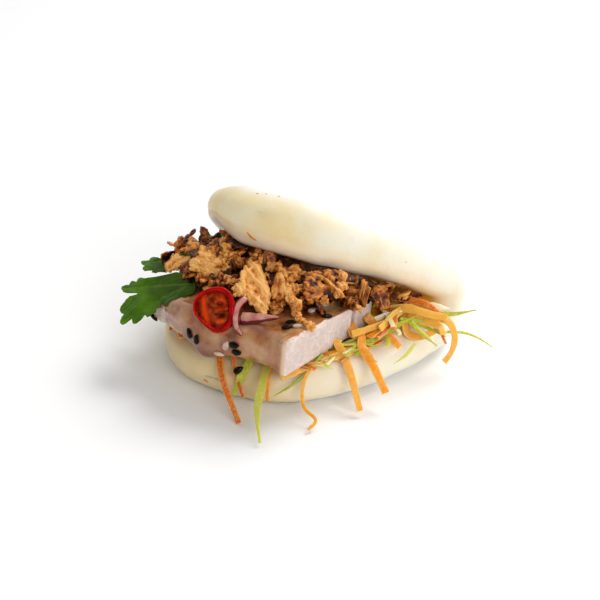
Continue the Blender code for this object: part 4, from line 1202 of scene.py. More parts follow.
# %% Red onion material
# Raw onion: wet, pinkish and clear between edges of purple skin, blushed over 2.5 mm.
onion_finish, tree, shader = new_material(
    "raw_red_onion",
    Roughness=0.25,
    IOR=1.4,
    Subsurface_Weight=0.3,
    Subsurface_Radius=(1.0, 0.6, 0.7),
    Subsurface_Scale=1.0 * MM,
    Coat_Weight=0.4,
    Coat_Roughness=0.08,
)
coords = add(tree, "ShaderNodeTexCoord", output="Object")
skin = add(tree, "ShaderNodeAttribute", attribute_name="skin", output="Fac")
blush = add(tree, "ShaderNodeTexNoise", {"Vector": coords}, Scale=1 / (2.5 * MM))
stained = add(tree, "ShaderNodeMath", {0: skin, 1: blush}, operation="ADD")
colour = add(
    tree,
    "ShaderNodeValToRGB",
    {"Fac": stained},
    [(0.30, "D09C8A"), (0.62, "B87064"), (0.90, "900A26"), (1.0, "600210")],
)
tree.links.new(colour, shader.inputs["Base Color"])
fine = add(tree, "ShaderNodeTexNoise", {"Vector": coords}, Scale=1 / (1.0 * MM))
normal = add(tree, "ShaderNodeBump", {"Height": fine}, Distance=0.08 * MM)
tree.links.new(normal, shader.inputs["Normal"])
print("red onion material ready")

# %% Red onion slivers
# The pixels that each sliver passes through, and its widths there in mm.
CRESCENT = ((247, 297), (239, 305), (235.6, 316), (236, 327), (242.5, 336))
CRESCENT_WIDTHS = (2.6, 2.5, 2.3, 2.0, 0.9)
WEDGE = ((240, 318), (250, 318.5), (262, 318), (280, 317.5))
WEDGE_WIDTHS = (4.0, 4.0, 2.8, 0.8)
SLIVER_RINGS = 60


def make_sliver(name, pixels, widths, thickness, start, end, facing, edges, stands_for):
    """Draws a sphere out along the path. The edges say how purple its two sides are."""
    near, far = edges
    places = path_through(pixels, start, end, SLIVER_RINGS + 1)
    bm = bmesh.new()
    bmesh.ops.create_uvsphere(bm, u_segments=24, v_segments=SLIVER_RINGS, radius=1)
    skin = bm.verts.layers.float.new("skin")
    for vertex in bm.verts:
        a, b, c = vertex.co
        share = math.acos(max(-1, min(1, -c))) / math.pi
        number = min(SLIVER_RINGS, round(share * SLIVER_RINGS))
        along = places[min(SLIVER_RINGS, number + 1)] - places[max(0, number - 1)]
        along.normalize()
        side = along.cross(Vector(facing)).normalized()
        face = side.cross(along)
        angle = math.atan2(b, a)
        place = share * (len(widths) - 1)
        low = min(int(place), len(widths) - 2)
        width = widths[low] + (widths[low + 1] - widths[low]) * (place - low)
        full = min(1, math.sin(math.pi * share) * 5) ** 0.6 if 0.001 < share < 0.999 else 0
        across = squared(math.cos(angle), 0.6)
        deep = squared(math.sin(angle), 0.6)
        vertex[skin] = near * smooth_step(across, 0.35, 1.0) + far * smooth_step(-across, 0.55, 1.0)
        shape = side * across * width + face * deep * thickness
        vertex.co = places[number] + shape * full * MM / 2
    clear_of(bm, (slab_surface,), 0.1 * MM)
    return finish_piece(name, bm, onion_finish, stands_for)


make_sliver(
    "onion_crescent", CRESCENT, CRESCENT_WIDTHS, 1.4, (8.5, -33, 33.2), (11.5, -44.6, 29.5), (0.4, -0.6, 0.6),
    (0.75, 0.75), ["red_onion_crescent"],
)
make_sliver(
    "onion_wedge", WEDGE, WEDGE_WIDTHS, 1.3, (9.5, -38.5, 32.0), (20.8, -34.2, 32.3), (0.2, -0.6, 0.75),
    (0.95, 0.25), ["red_onion_wedge"],
)

# %% [markdown]
# ## Parsley
#
# Flat-leaf parsley has broad lobes with rounded teeth, and a vein runs to each lobe. A sphere
# pressed flat is a leaf already: closed, thick in the middle and thin at its rim. Its outline is
# read off the picture and laid on the leaf's plane, and its veins are grooves from root to tips.
# The blade waves towards the camera and away from it, which keeps the outline as it was read.

# %% Parsley material
# A fresh leaf: satin, with veins that are a little paler. It is painted dark and bluish near the
# stalk and brighter at its tips, as painted shade and painted light. Its blade is mottled over 6 mm.
parsley_finish, tree, shader = new_material(
    "flat_leaf_parsley",
    Specular_IOR_Level=0.15,
    Roughness=0.45,
    IOR=1.42,
    Subsurface_Weight=0.08,
    Subsurface_Radius=(0.4, 1.0, 0.1),
    Subsurface_Scale=0.6 * MM,
)
coords = add(tree, "ShaderNodeTexCoord", output="Object")
vein = add(tree, "ShaderNodeAttribute", attribute_name="vein", output="Fac")
tip = add(tree, "ShaderNodeAttribute", attribute_name="tip", output="Fac")
mottle = add(tree, "ShaderNodeTexNoise", {"Vector": coords}, Scale=1 / (6 * MM), Detail=3)
shaded = add(tree, "ShaderNodeValToRGB", {"Fac": mottle}, [(0.35, "284004"), (0.65, "3A5808")])
bright = add(tree, "ShaderNodeValToRGB", {"Fac": mottle}, [(0.35, "3A6200"), (0.65, "548200")])
blade = add(tree, "ShaderNodeMix", {0: tip, 6: shaded, 7: bright}, output=2, data_type="RGBA")
colour = add(tree, "ShaderNodeMix", {0: vein, 6: blade}, output=2, data_type="RGBA")
colour.node.inputs[7].default_value = linear("5A7C20")
tree.links.new(colour, shader.inputs["Base Color"])
fine = add(tree, "ShaderNodeTexNoise", {"Vector": coords}, Scale=1 / (1.2 * MM))
normal = add(tree, "ShaderNodeBump", {"Height": fine}, Distance=0.14 * MM)
tree.links.new(normal, shader.inputs["Normal"])
print("parsley material ready")

# %% Parsley outlines
# The leaves' rims in the picture's pixels, and where each vein starts and ends.
LARGE_LEAF = (
    (119.9, 288.2), (121.1, 286.4), (125.3, 284.8), (128.5, 285.1), (129.2, 282.8), (131.2, 280.8),
    (133.7, 281.0), (136.2, 282.1), (136.9, 279.7), (138.7, 278.1), (141.4, 277.6), (145.0, 278.3),
    (154.0, 277.1), (169.2, 273.8), (176, 272), (188, 274), (196, 282), (195.5, 289), (194.0, 292.9),
    (190.8, 294.6), (186.8, 295.9), (186.8, 298.6), (184.5, 300.7), (181.4, 300.4), (180.4, 303.1),
    (177.9, 305.4), (173.7, 305.2), (171.0, 306.9), (167.1, 306.7), (163.9, 305.2), (163.1, 301.3),
    (160.3, 304.3), (157.0, 309.0), (156.0, 313.0), (153.1, 313.0), (151.6, 315.3), (147.2, 317.3),
    (145.0, 314.8), (143.2, 317.4), (139.6, 321.0), (136.0, 323.7), (133.0, 324.1), (131.7, 321.9),
    (131.5, 318.7), (128.8, 321.0), (125.3, 323.4), (121.7, 325.0), (119.5, 323.4), (119.3, 320.7),
    (120.8, 317.4), (123.3, 314.4), (120.4, 313.0), (119.0, 310.3), (120.1, 306.7), (123.5, 302.5),
    (126.2, 299.0), (129.4, 296.4), (136.9, 294.3), (138.0, 292.9), (133.3, 293.0), (127.6, 293.2),
    (122.6, 292.0),
)
LARGE_VEINS = (((190, 284), (120, 288)), ((186, 286), (121, 322)), ((186, 286), (168, 304)))
SMALL_LEAF = (
    (140.5, 262.7), (141.6, 260.7), (145.2, 260.9), (149.5, 260.4), (150.0, 258.2), (153.1, 257.0),
    (157.0, 257.3), (160.3, 258.2), (160.8, 255.2), (162.8, 253.4), (166.0, 253.0), (174, 255),
    (181, 252), (190, 251), (193, 256), (184, 262), (174, 270), (163.9, 272.2), (158.5, 272.0),
    (154.5, 272.8), (151.6, 272.4), (152.4, 270.4), (148.6, 270.6), (144.5, 271.0), (142.5, 269.2),
    (143.0, 267.0), (145.2, 266.1), (142.3, 264.8),
)
SMALL_VEINS = (((188, 256), (142, 264)), ((168, 262), (160, 256)), ((168, 262), (155, 273)))
print("points on the two rims:", len(LARGE_LEAF), len(SMALL_LEAF))


# %% Parsley leaves
def near_line(x, y, start, end):
    """How near a point is to a vein, in mm, and how far along the vein it is."""
    run = Vector((end[0] - start[0], end[1] - start[1]))
    share = max(0, min(1, ((x - start[0]) * run.x + (y - start[1]) * run.y) / run.length_squared))
    return math.hypot(x - start[0] - run.x * share, y - start[1] - run.y * share), share


def make_leaf(name, outline, veins, middle, near, facing, waves, stands_for):
    """A leaf through the place near, which the middle's pixel shows. Its waves are in mm."""
    axes = plane_axes(facing)
    centre = seen_on_plane(middle, Vector(near) * MM, axes.col[2])
    table = reach_table(laid_on(outline, centre, axes), 1440)
    lines = [laid_on(line, centre, axes) for line in veins]
    root = lines[0][0]
    bm = bmesh.new()
    bmesh.ops.create_uvsphere(bm, u_segments=480, v_segments=40, radius=1)
    vein = bm.verts.layers.float.new("vein")
    tip = bm.verts.layers.float.new("tip")
    for vertex in bm.verts:
        a, b, c = vertex.co
        angle = math.atan2(b, a)
        share = math.hypot(a, b)
        reach = looked_up(table, angle) * share
        x, y = math.cos(angle) * reach, math.sin(angle) * reach
        from_root = math.hypot(x - root[0], y - root[1])
        nearest = min(near_line(x, y, *line)[0] for line in lines)
        groove = bell(nearest, 0, 0.45)
        ribs = 0.06 * math.sin(nearest * 3.1 + from_root * 1.2) * smooth_step(share, 0.1, 0.5)
        wave = waves * (math.sin(from_root * 0.45) + 0.6 * math.sin((x - y) * 0.5 + 1))
        wave += waves * 0.9 * smooth_step(nearest, 0, 4)
        wave -= 0.006 * max(0, from_root - 10) ** 2
        thick = squared(c, 0.5) * 0.26
        vertex[vein] = 0.6 * groove * (1 - 0.5 * smooth_step(from_root, 5, 24))
        # The tip attribute paints shade near the stalk and light at the tips.
        vertex[tip] = smooth_step(from_root, 9, 22)
        vertex.co = centre + (axes @ Vector((x, y, ribs + thick - 0.28 * groove)) + back * wave) * MM
    clear_of(bm, (slab_surface, bun_surface), 0.1 * MM)
    return finish_piece(name, bm, parsley_finish, stands_for)


make_leaf(
    "parsley_large", LARGE_LEAF, LARGE_VEINS, (152.9, 292), (-20, -27.5, 32.4), (-0.1, -0.45, 0.9), 0.45,
    ["parsley_leaf_large"],
)
make_leaf(
    "parsley_small", SMALL_LEAF, SMALL_VEINS, (166, 263), (-36, -21, 31.5), (-0.3, -0.3, 0.9), 0.3,
    ["parsley_leaf_small"],
)

# %% [markdown]
# ## Fried onions
#
# Crisp onion flakes in a thin batter: tan to dark brown as they fried, amber at thin tips, with
# creases, torn edges and crumbs of batter. Where they stand out they are painted lighter, and their
# creases and dips, the bits deep in the heap and the heap's inside are painted darker: painted
# light and painted shade. Each flake is a small sphere pressed to a plate with a cornered outline,
# then bent, creased along its length and roughened. The large ones lie where the picture shows
# them, smaller ones cover a lumpy mound that keeps the heap's shape, and crumbs sit on the large
# flakes' faces.

# %% Fried onion material
# Batter fried in oil: matt with a few oily glints. The toast attribute, plus mottling over 2 mm,
# runs from tan to nearly black brown, and also carries painted light and painted shade. The amber
# attribute colours thin tips, and grains of batter are 0.5 to 1.2 mm.
fried_finish, tree, shader = new_material(
    "fried_onion_batter",
    Specular_IOR_Level=0.4,
    Roughness=0.34,
    IOR=1.45,
    Subsurface_Weight=0.10,
    Subsurface_Radius=(1.0, 0.45, 0.15),
    Subsurface_Scale=0.8 * MM,
)
coords = add(tree, "ShaderNodeTexCoord", output="Object")
toast_and_shade = add(tree, "ShaderNodeAttribute", attribute_name="toast_and_shade", output="Fac")
amber = add(tree, "ShaderNodeAttribute", attribute_name="amber", output="Fac")
mottle = add(
    tree, "ShaderNodeTexNoise", {"Vector": coords}, Scale=1 / (2.0 * MM), Detail=5, Roughness=0.7
)
toasted_and_shaded = add(tree, "ShaderNodeMath", {0: toast_and_shade, 1: mottle}, operation="ADD")
batter = add(
    tree,
    "ShaderNodeValToRGB",
    {"Fac": toasted_and_shaded},
    [(0.30, "F0B566"), (0.44, "DE9240"), (0.58, "BC6A1E"), (0.73, "78340A"), (0.90, "260D02")],
)
crisp = add(
    tree, "ShaderNodeValToRGB", {"Fac": mottle}, [(0.35, "F0AC4C"), (0.5, "DA8420"), (0.7, "A4500C")]
)
colour = add(tree, "ShaderNodeMix", {0: amber, 6: batter, 7: crisp}, output=2, data_type="RGBA")
tree.links.new(colour, shader.inputs["Base Color"])
grains = add(tree, "ShaderNodeTexNoise", {"Vector": coords}, Scale=1 / (1.2 * MM), Detail=4)
fine = add(tree, "ShaderNodeTexNoise", {"Vector": coords}, Scale=1 / (0.5 * MM), Detail=3)
normal = add(tree, "ShaderNodeBump", {"Height": grains}, Distance=0.24 * MM)
normal = add(tree, "ShaderNodeBump", {"Height": fine, "Normal": normal}, Distance=0.07 * MM)
tree.links.new(normal, shader.inputs["Normal"])
print("fried onion material ready")

# %% Heap shape
HEAP_HEIGHT = 8.0 * MM
HEAP_MIDDLE_X = -1 * MM
HEAP_REACH_X = 38 * MM
HEAP_REAR = 8 * MM


def heap_front(x):
    """The heap's front edge: furthest forward left of the middle, and further back at both ends."""
    x = x / MM
    return (-31.0 + 0.0105 * (x + 6) ** 2 + 0.03 * max(0, x - 20) ** 2) * MM


def slab_top(y):
    """The height of the slab's upper side, which falls a little to the back."""
    rearward = min(1, max(0, (y - SLAB_FRONT) / SLAB_DEPTH))
    return SLAB_BOTTOM + SLAB_FRONT_THICKNESS + (SLAB_BACK_THICKNESS - SLAB_FRONT_THICKNESS) * rearward


def mouth_ceiling(y):
    """The height of the upper half's inner face."""
    turn = math.pi - OPENING
    y_end = FOLD_Y + FOLD_RADIUS * math.sin(turn) - math.sin(turn) * DOUGH_RIM
    z_end = DOUGH_RIM + FOLD_RADIUS * (1 - math.cos(turn)) + math.cos(turn) * DOUGH_RIM
    return z_end + (y_end - y) * math.tan(OPENING)


def heap_top(x, y):
    """The mound's height: steep at its front, lower at both ends, and under the bun's ceiling."""
    inward = y - heap_front(x)
    low = smooth_step(x, 20 * MM, 42 * MM)
    base = slab_top(y) - 6 * MM * smooth_step(x, 33 * MM, 38 * MM)
    left = smooth_step(-x, 14 * MM, 37 * MM)
    height = base + (HEAP_HEIGHT * (1 - 0.55 * low - 0.4 * left)) * smooth_step(inward, -1.5 * MM, 6 * MM)
    height += (
        5.5 * MM * smooth_step(y, -24 * MM, -8 * MM) * (1 - left) ** 1.3
        + 1.0 * MM * lump((x, y, 0), 6 * MM, 6)
    )
    return min(height, mouth_ceiling(y) - 0.35 * MM)


def make_heap_core():
    """The inside of the heap, a little under the flakes, painted dark as painted shade."""
    bm = bmesh.new()
    bmesh.ops.create_uvsphere(bm, u_segments=80, v_segments=24, radius=1)
    toast_and_shade = bm.verts.layers.float.new("toast_and_shade")
    for vertex in bm.verts:
        a, b, c = vertex.co
        angle = math.atan2(b, a)
        reach = math.hypot(a, b) ** 0.7
        x = HEAP_MIDDLE_X + HEAP_REACH_X * squared(math.cos(angle), 0.75) * reach
        front = heap_front(x) + 2.5 * MM
        middle = (front + HEAP_REAR) / 2
        y = middle + (HEAP_REAR - middle) * squared(math.sin(angle), 0.75) * reach
        bottom = slab_top(y) + 0.6 * MM - 5 * MM * smooth_step(abs(x - 1 * MM), 31 * MM, 36 * MM)
        top = max(heap_top(x, y) - 1.8 * MM, bottom + 0.8 * MM)
        z = (bottom + top) / 2 + (top - bottom) / 2 * squared(c, 0.4)
        rough = crumple((x / MM, y / MM, z / MM), 3.2, 7)
        vertex.co = Vector((x, y, z)) + Vector((0, 0, 0.9 * MM * rough))
        # Painted shade: the core is dark, and darker still in its folds.
        vertex[toast_and_shade] = 0.36 - 0.2 * rough
    clear_of(bm, (bun_surface,), 0.2 * MM)
    return finish_piece("fried_onion_core", bm, fried_finish, ["fried_onions"])


heap_core = make_heap_core()
heap_surface = surface_of(heap_core)


# %% Flake helper
def flake(corners, axes, centre, thickness, seed, level, bend, tone, crust=0.3, tips=0.6):
    """A crisp flake: a cornered plate in mm, bent along a line, creased, with torn edges."""
    bm = bmesh.new()
    bmesh.ops.create_icosphere(bm, subdivisions=level, radius=1)
    toast_and_shade = bm.verts.layers.float.new("toast_and_shade")
    amber = bm.verts.layers.float.new("amber")
    size = max(math.hypot(x, y) for x, y in corners)
    table = reach_table(corners, 120)
    far = max(corners, key=lambda corner: math.hypot(*corner))
    lean = math.atan2(far[1], far[0]) + math.pi / 2
    facts = {}
    for vertex in bm.verts:
        a, b, c = vertex.co
        angle = math.atan2(b, a)
        share = math.hypot(a, b)
        ragged = 1 + 0.16 * crumple((math.cos(angle) * 3, math.sin(angle) * 3, seed), 1, 2)
        ragged += 0.07 * noise.noise((math.cos(angle) * 9, math.sin(angle) * 9, seed))
        reach = looked_up(table, angle) * ragged * share**0.75
        x = math.cos(angle) * reach
        y = math.sin(angle) * reach
        across = x * math.cos(lean) + y * math.sin(lean)
        along = y * math.cos(lean) - x * math.sin(lean)
        crease = crumple((across, along * 0.35, seed * 3), max(1.8, size * 0.32), 4)
        middle = -bend * across * across / size + 0.13 * size * crease
        middle += 0.10 * size * share**3 * noise.noise((math.cos(angle), math.sin(angle), seed))
        height = squared(c, 0.5) * thickness / 2 * (1 - 0.45 * share**4)
        facts[vertex] = share, crease
        vertex.co = Vector((x, y, middle + height))
    bm.normal_update()
    moves = {}
    for vertex in bm.verts:
        grain = vertex.co + Vector((seed * 13.7, 0, 0))
        bulge = crumple(grain, 2.6, 1)
        fine = noise.noise(grain / 0.9)
        share, crease = facts[vertex]
        moves[vertex] = vertex.normal * crust * (bulge + 0.3 * fine)
        edge = smooth_step(share, 0.72, 1.0)
        # Painted light and shade: bulges lighter, creases and dips darker. The edges are darker as they fried
        # longer.
        vertex[toast_and_shade] = tone - 0.22 * bulge - 0.30 * crease - 0.10 * fine + 0.10 * edge
        vertex[amber] = tips * edge * smooth_step(noise.noise(grain / 3.5), -0.25, 0.3)
    for vertex, move in moves.items():
        vertex.co = centre + axes @ ((vertex.co + move) * MM)
    return bm


def crumb(centre, size, tone, seed, level=2):
    """A grain of batter: a small sphere with lumps."""
    bm = bmesh.new()
    bmesh.ops.create_icosphere(bm, subdivisions=level, radius=1)
    toast_and_shade = bm.verts.layers.float.new("toast_and_shade")
    amber = bm.verts.layers.float.new("amber")
    for vertex in bm.verts:
        bulge = noise.noise(vertex.co * 1.7 + Vector((seed * 5.1, 0, 0)))
        # Painted light: the bulges are lighter.
        vertex[toast_and_shade] = tone - 0.25 * bulge
        vertex[amber] = 0.25 * smooth_step(bulge, 0, 0.4)
        vertex.co = centre + vertex.co * size / 2 * (1 + 0.7 * bulge) * MM
    return bm


# %% Flakes read off the picture
# Each: its outline in the picture's pixels, how far its middle stands off the heap, the tilt of
# its face to the right and up, its bend, its tone and the share of amber at its tips.
LARGE_FLAKES = (
    (
        (
            (190, 259), (198, 254.5), (200, 246.5), (205, 245.5), (210.5, 252), (218, 256.5),
            (227, 264), (228, 270), (219.5, 272.5), (217.5, 280.5), (211.5, 282.5), (205, 277),
            (199.5, 272), (190.5, 271), (187, 263),
        ),
        4.2, (-0.1, 0.3), 0.10, -0.20, 0.5,
    ),
    (
        (
            (165, 263.5), (172, 252), (180, 254.5), (190, 256.5), (190, 265), (184, 268),
            (173, 269.5), (165.5, 273.5),
        ),
        2.2, (-0.2, 0.4), 0.25, -0.10, 0.7,
    ),
    (
        (
            (251, 259), (259, 261), (262.5, 270), (267.5, 280.5), (270, 290), (270, 304),
            (266, 316.5), (261, 315.5), (252, 304), (245.5, 297), (234, 294), (234, 288),
            (241, 280.5), (241, 271.5), (246, 263.5),
        ),
        4.2, (0.15, 0.45), 0.12, -0.18, 0.5,
    ),
    (
        ((183, 279), (189, 277), (200, 279), (204, 285), (195, 289), (184, 285)),
        1.6, (-0.2, 0.2), 0.20, 0.02, 0.9,
    ),
    (
        (
            (270, 295), (272.5, 283), (276, 274), (283, 272), (285, 283), (294, 288), (296, 294),
            (288, 299), (276, 299),
        ),
        2.4, (0.0, 0.2), 0.30, -0.06, 0.5,
    ),
    (
        (
            (303, 281), (312, 276), (317, 279.5), (328, 288.5), (321, 299), (312, 303), (306, 299),
            (303, 290),
        ),
        2.0, (0.3, -0.1), 0.20, 0.08, 0.2,
    ),
    (
        (
            (324, 277), (335, 282), (346, 281), (348, 285), (342, 292), (346, 297.5), (338.5, 298),
            (330, 290.5), (324, 285),
        ),
        2.2, (0.0, 0.4), 0.30, -0.08, 0.6,
    ),
    (
        (
            (347, 287), (357, 281), (366, 280), (370.5, 288.5), (366, 295), (357, 296), (355, 305),
            (348, 303), (345, 295),
        ),
        1.8, (0.2, 0.2), 0.30, 0.00, 0.9,
    ),
    (
        ((267, 305), (276, 299), (292, 297), (294, 303), (279, 307), (272, 310)),
        2.4, (0.0, 0.5), 0.20, 0.00, 0.8,
    ),
    (
        ((285, 272), (299, 270), (303, 276), (292, 283), (285, 281)),
        1.4, (0.0, 0.5), 0.20, 0.00, 0.3,
    ),
    (
        ((304, 272), (321, 270), (327, 278), (317, 283), (306, 279)),
        1.2, (0.2, 0.6), 0.20, 0.05, 0.3,
    ),
    (
        ((371, 291), (381, 282), (390, 297), (389, 307), (381, 310), (375, 301)),
        1.6, (0.5, 0.1), 0.40, 0.18, 0.9,
    ),
    (
        ((391, 287), (401, 291), (408, 297), (398, 305), (391, 301)),
        1.2, (0.3, 0.1), 0.30, 0.12, 0.8,
    ),
    (
        ((407, 289), (422, 293), (422, 299), (411, 300)),
        1.0, (0.3, 0.3), 0.20, 0.14, 0.7,
    ),
    (
        ((384, 281), (399, 281), (406, 287), (392, 285.5)),
        1.4, (0.2, 0.6), 0.10, -0.10, 0.1,
    ),
    (
        ((322, 270), (334, 268), (341, 274), (334, 280), (324, 277)),
        1.2, (0.1, 0.4), 0.20, 0.06, 0.3,
    ),
    (
        ((344, 276), (352, 274), (360, 280), (356, 290), (347, 290)),
        1.2, (0.2, 0.3), 0.20, 0.02, 0.4,
    ),
    (
        ((222, 239.5), (225, 236), (234, 234.5), (239, 237.5), (235.5, 241), (227, 241.5)),
        0.8, (0.0, 0.5), 0.20, 0.05, 0.2,
    ),
    (
        ((189, 239), (198, 241), (200, 248), (182, 252), (179, 254)),
        1.0, (-0.2, 0.6), 0.20, -0.02, 0.2,
    ),
    (
        ((201, 245), (208.5, 236), (217.5, 236), (217.5, 241), (207, 245)),
        0.6, (0.0, 0.6), 0.10, -0.06, 0.2,
    ),
)
# Nuggets of batter: the pixel of the middle, and the size in mm.
NUGGETS = (
    ((207, 252), 3.4), ((212, 248), 3.0), ((226, 248), 3.8), ((224, 256), 3.6), ((233, 257), 3.4),
    ((227, 279), 3.2), ((232, 283), 2.6), ((263, 259), 3.0), ((272, 267), 3.2), ((298, 288), 3.0),
    ((266, 277), 2.6), ((324, 300), 2.8), ((341, 276), 3.2), ((300, 307), 2.4), ((216, 243), 2.8),
    ((240, 262), 3.2), ((291, 289), 3.2),
)
# The curl that hangs over the cut edge.
CURL = ((292, 300), (297, 304), (297, 312), (301, 320), (305, 325), (311, 328))
# A place in the heap, in mm, for a pixel that shows neither the heap nor what is near it, and how
# far in mm each large flake stands off beyond its own lift.
HEAP_PLACE = (-22, -12, 38)
EXTRA_LIFT = 1.2
print(f"{len(LARGE_FLAKES)} large flakes and {len(NUGGETS)} nuggets show in the picture")


# %% Large flakes
def make_large_flakes():
    """The flakes and nuggets that can be told apart, with crumbs on the flakes' near faces."""
    total = bmesh.new()
    chance = random.Random(5)
    for number, (outline, lift, tilt, bend, tone, tips) in enumerate(LARGE_FLAKES):
        axes = plane_axes(back + view_right * tilt[0] + view_up * tilt[1])
        pixel = [sum(corner[i] for corner in outline) / len(outline) for i in (0, 1)]
        spot, _ = seen_on(pixel, (heap_surface, slab_surface, bun_surface), HEAP_PLACE)
        centre = spot + back * (lift + EXTRA_LIFT) * MM
        corners = laid_on(outline, centre, axes)
        level = 6 if len(outline) > 10 else 5
        bm = flake(corners, axes, centre, 1.0, number * 1.7 + 1, level, bend, tone, 0.26, tips)
        clear_of(bm, (bun_surface, slab_surface))
        bm.verts.ensure_lookup_table()
        crumbs = []
        for _ in range(len(outline) * 3):
            vertex = bm.verts[chance.randrange(len(bm.verts))]
            if vertex.co.dot(back) > centre.dot(back):
                crumbs.append((vertex.co.copy(), chance.uniform(0.5, 1.5), chance.random() * 9))
        add_shape(total, bm)
        for place, size, seed in crumbs:
            add_shape(total, crumb(place, size, tone + 0.02, seed))
    for number, (pixel, size) in enumerate(NUGGETS):
        spot, _ = seen_on(pixel, (heap_surface, slab_surface, bun_surface), HEAP_PLACE)
        add_shape(total, crumb(spot + back * 1.6 * MM, size, -0.08, number, 4))
    return finish_piece("fried_onion_flakes", total, fried_finish, ["fried_onions"])


def make_curl():
    """A thin strand of batter that curls over the slab's edge, in beads along a path."""
    total = bmesh.new()
    chance = random.Random(9)
    points = path_through(CURL, (17, -31, 35.5), (30, -31, 30.5), 22)
    for number, point in enumerate(points):
        size = chance.uniform(1.4, 2.6) + (0.9 if number > 18 or number < 7 else 0)
        point = point + Vector([chance.uniform(-0.6, 0.6) * MM for _ in range(3)])
        point = push_out(push_out(point, slab_surface, 0.6 * MM), bun_surface, 0.6 * MM)
        add_shape(total, crumb(point, size, -0.05, number * 1.3, 3))
    return finish_piece("fried_onion_curl", total, fried_finish, ["fried_onions"])


make_large_flakes()
make_curl()

# %% Small flakes and crumbs
# Where the upper half's lip runs in the picture, in pixels: a place on it, and its fall.
LIP_LEFT = 235
LIP_PLACE = (250, 246)
LIP_FALL = 0.26


def random_corners(chance, length, width):
    """Seven to ten corners round a middle, at uneven distances."""
    count = chance.randint(7, 10)
    corners = []
    for i in range(count):
        angle = 2 * math.pi * (i + chance.uniform(-0.3, 0.3)) / count
        reach = chance.uniform(0.55, 1.15)
        corners.append((math.cos(angle) * reach * length / 2, math.sin(angle) * reach * width / 2))
    return corners


def before_lip(bm):
    """Whether any point would show in front of the upper half, past its lip."""
    for vertex in bm.verts:
        away = camera.location - vertex.co
        depth = away.dot(back)
        across = PICTURE_PIXELS / 2 - FOCAL_PIXELS * away.dot(view_right) / depth
        down = PICTURE_PIXELS / 2 + FOCAL_PIXELS * away.dot(view_up) / depth
        if across > LIP_LEFT and down < LIP_PLACE[1] + LIP_FALL * (across - LIP_PLACE[0]):
            if bun_surface.ray_cast(vertex.co, away.normalized())[0] is None:
                return True
    return False


def make_small_bits(name, count, sizes, level, seed, thick):
    """Bits scattered over the mound, every fourth one round its sides and back."""
    chance = random.Random(seed)
    total = bmesh.new()
    for number in range(count):
        x = chance.uniform(-37, 40) * MM
        y = heap_front(x) + chance.uniform(-0.5, 26) * MM
        depth = chance.uniform(-0.6, 2.4) + 1.4 * smooth_step(-x, 14 * MM, 28 * MM)
        z = min(heap_top(x, y), mouth_ceiling(y) - 4.5 * MM) - depth * MM
        if y < heap_front(x) + 3 * MM:
            z = slab_top(y) + chance.uniform(0.8, 5) * MM
        if number % 4 == 3:
            angle = chance.uniform(0.45, 1.5) * math.pi
            x = HEAP_MIDDLE_X + HEAP_REACH_X * squared(math.cos(angle), 0.75)
            middle = (heap_front(x) + 10.5 * MM) / 2
            y = middle + (HEAP_REAR - middle) * squared(math.sin(angle), 0.75)
            z = slab_top(y) + chance.uniform(-1, 7) * MM
        facing = Vector((chance.uniform(-0.9, 0.9), chance.uniform(-1, 0.5), chance.uniform(0.2, 1)))
        turn = Vector((chance.uniform(-1, 1), chance.uniform(-1, 1), 0.3))
        axes = frame_of(facing, turn)
        length = chance.uniform(*sizes)
        corners = random_corners(chance, length, length * chance.uniform(0.45, 0.85))
        # Painted shade: bits deeper in the heap get a darker tone.
        tone = 0.11 * depth + chance.uniform(-0.10, 0.18)
        bm = flake(
            corners, axes, Vector((x, y, z)), chance.uniform(*thick), number * 1.37 + seed, level,
            chance.uniform(0, 0.5), tone, 0.32 if length > 4 else 0.25, chance.uniform(0.1, 0.9),
        )
        clear_of(bm, (bun_surface, slab_surface))
        if not before_lip(bm):
            add_shape(total, bm)
    return finish_piece(name, total, fried_finish, ["fried_onions"])


make_small_bits("fried_onion_bits", 140, (5, 11), 4, 21, (0.7, 1.1))
make_small_bits("fried_onion_crumbs", 130, (2, 4.5), 3, 22, (0.9, 1.8))

# %% [markdown]
# ## Sesame seeds and specks
#
# A sesame seed is a flat drop 3.6 mm long. A small sphere with its poles at the seed's two ends
# is drawn out and narrowed at one end. Black and white seeds are two pieces, because they are two
# materials, and one black seed more hangs on the greens. Each lies flat on whatever the picture
# shows at its place, at the turn it has there. A few specks of carrot and oil stick to the dough.

# %% Seeds
SESAME_LENGTH = 3.6 * MM
SESAME_WIDTH = 2.2 * MM
SESAME_THICKNESS = 1.3 * MM


def sesame_seed(centre, facing, heading):
    """A seed at its place, with the way its flat side faces and the way its narrow end points."""
    bm = bmesh.new()
    bmesh.ops.create_uvsphere(bm, u_segments=12, v_segments=9, radius=1)
    up = facing.normalized()
    along = heading - up * heading.dot(up)
    along.normalize()
    axes = Matrix((along, up.cross(along), up)).transposed()
    for vertex in bm.verts:
        x, y, z = vertex.co
        blunt = 1 - 0.30 * z
        shape = Vector((z * SESAME_LENGTH, x * SESAME_WIDTH * blunt, y * SESAME_THICKNESS)) / 2
        vertex.co = centre + axes @ shape
    return bm


def seeds_at(places, name, finish):
    """Seeds at pixels of the picture, each with its heading there in degrees."""
    total = bmesh.new()
    for pixel, turn in places:
        spot, normal = seen_on(pixel, (slab_surface, heap_surface, bun_surface), (0, -44, 25))
        angle = math.radians(turn)
        heading = view_right * math.cos(angle) + view_up * math.sin(angle)
        add_shape(total, sesame_seed(spot + normal * SESAME_THICKNESS * 0.3, normal, heading))
    return finish_piece(name, total, finish, ())


print("a sesame seed in mm:", [round(side / MM, 1) for side in (SESAME_LENGTH, SESAME_WIDTH)])

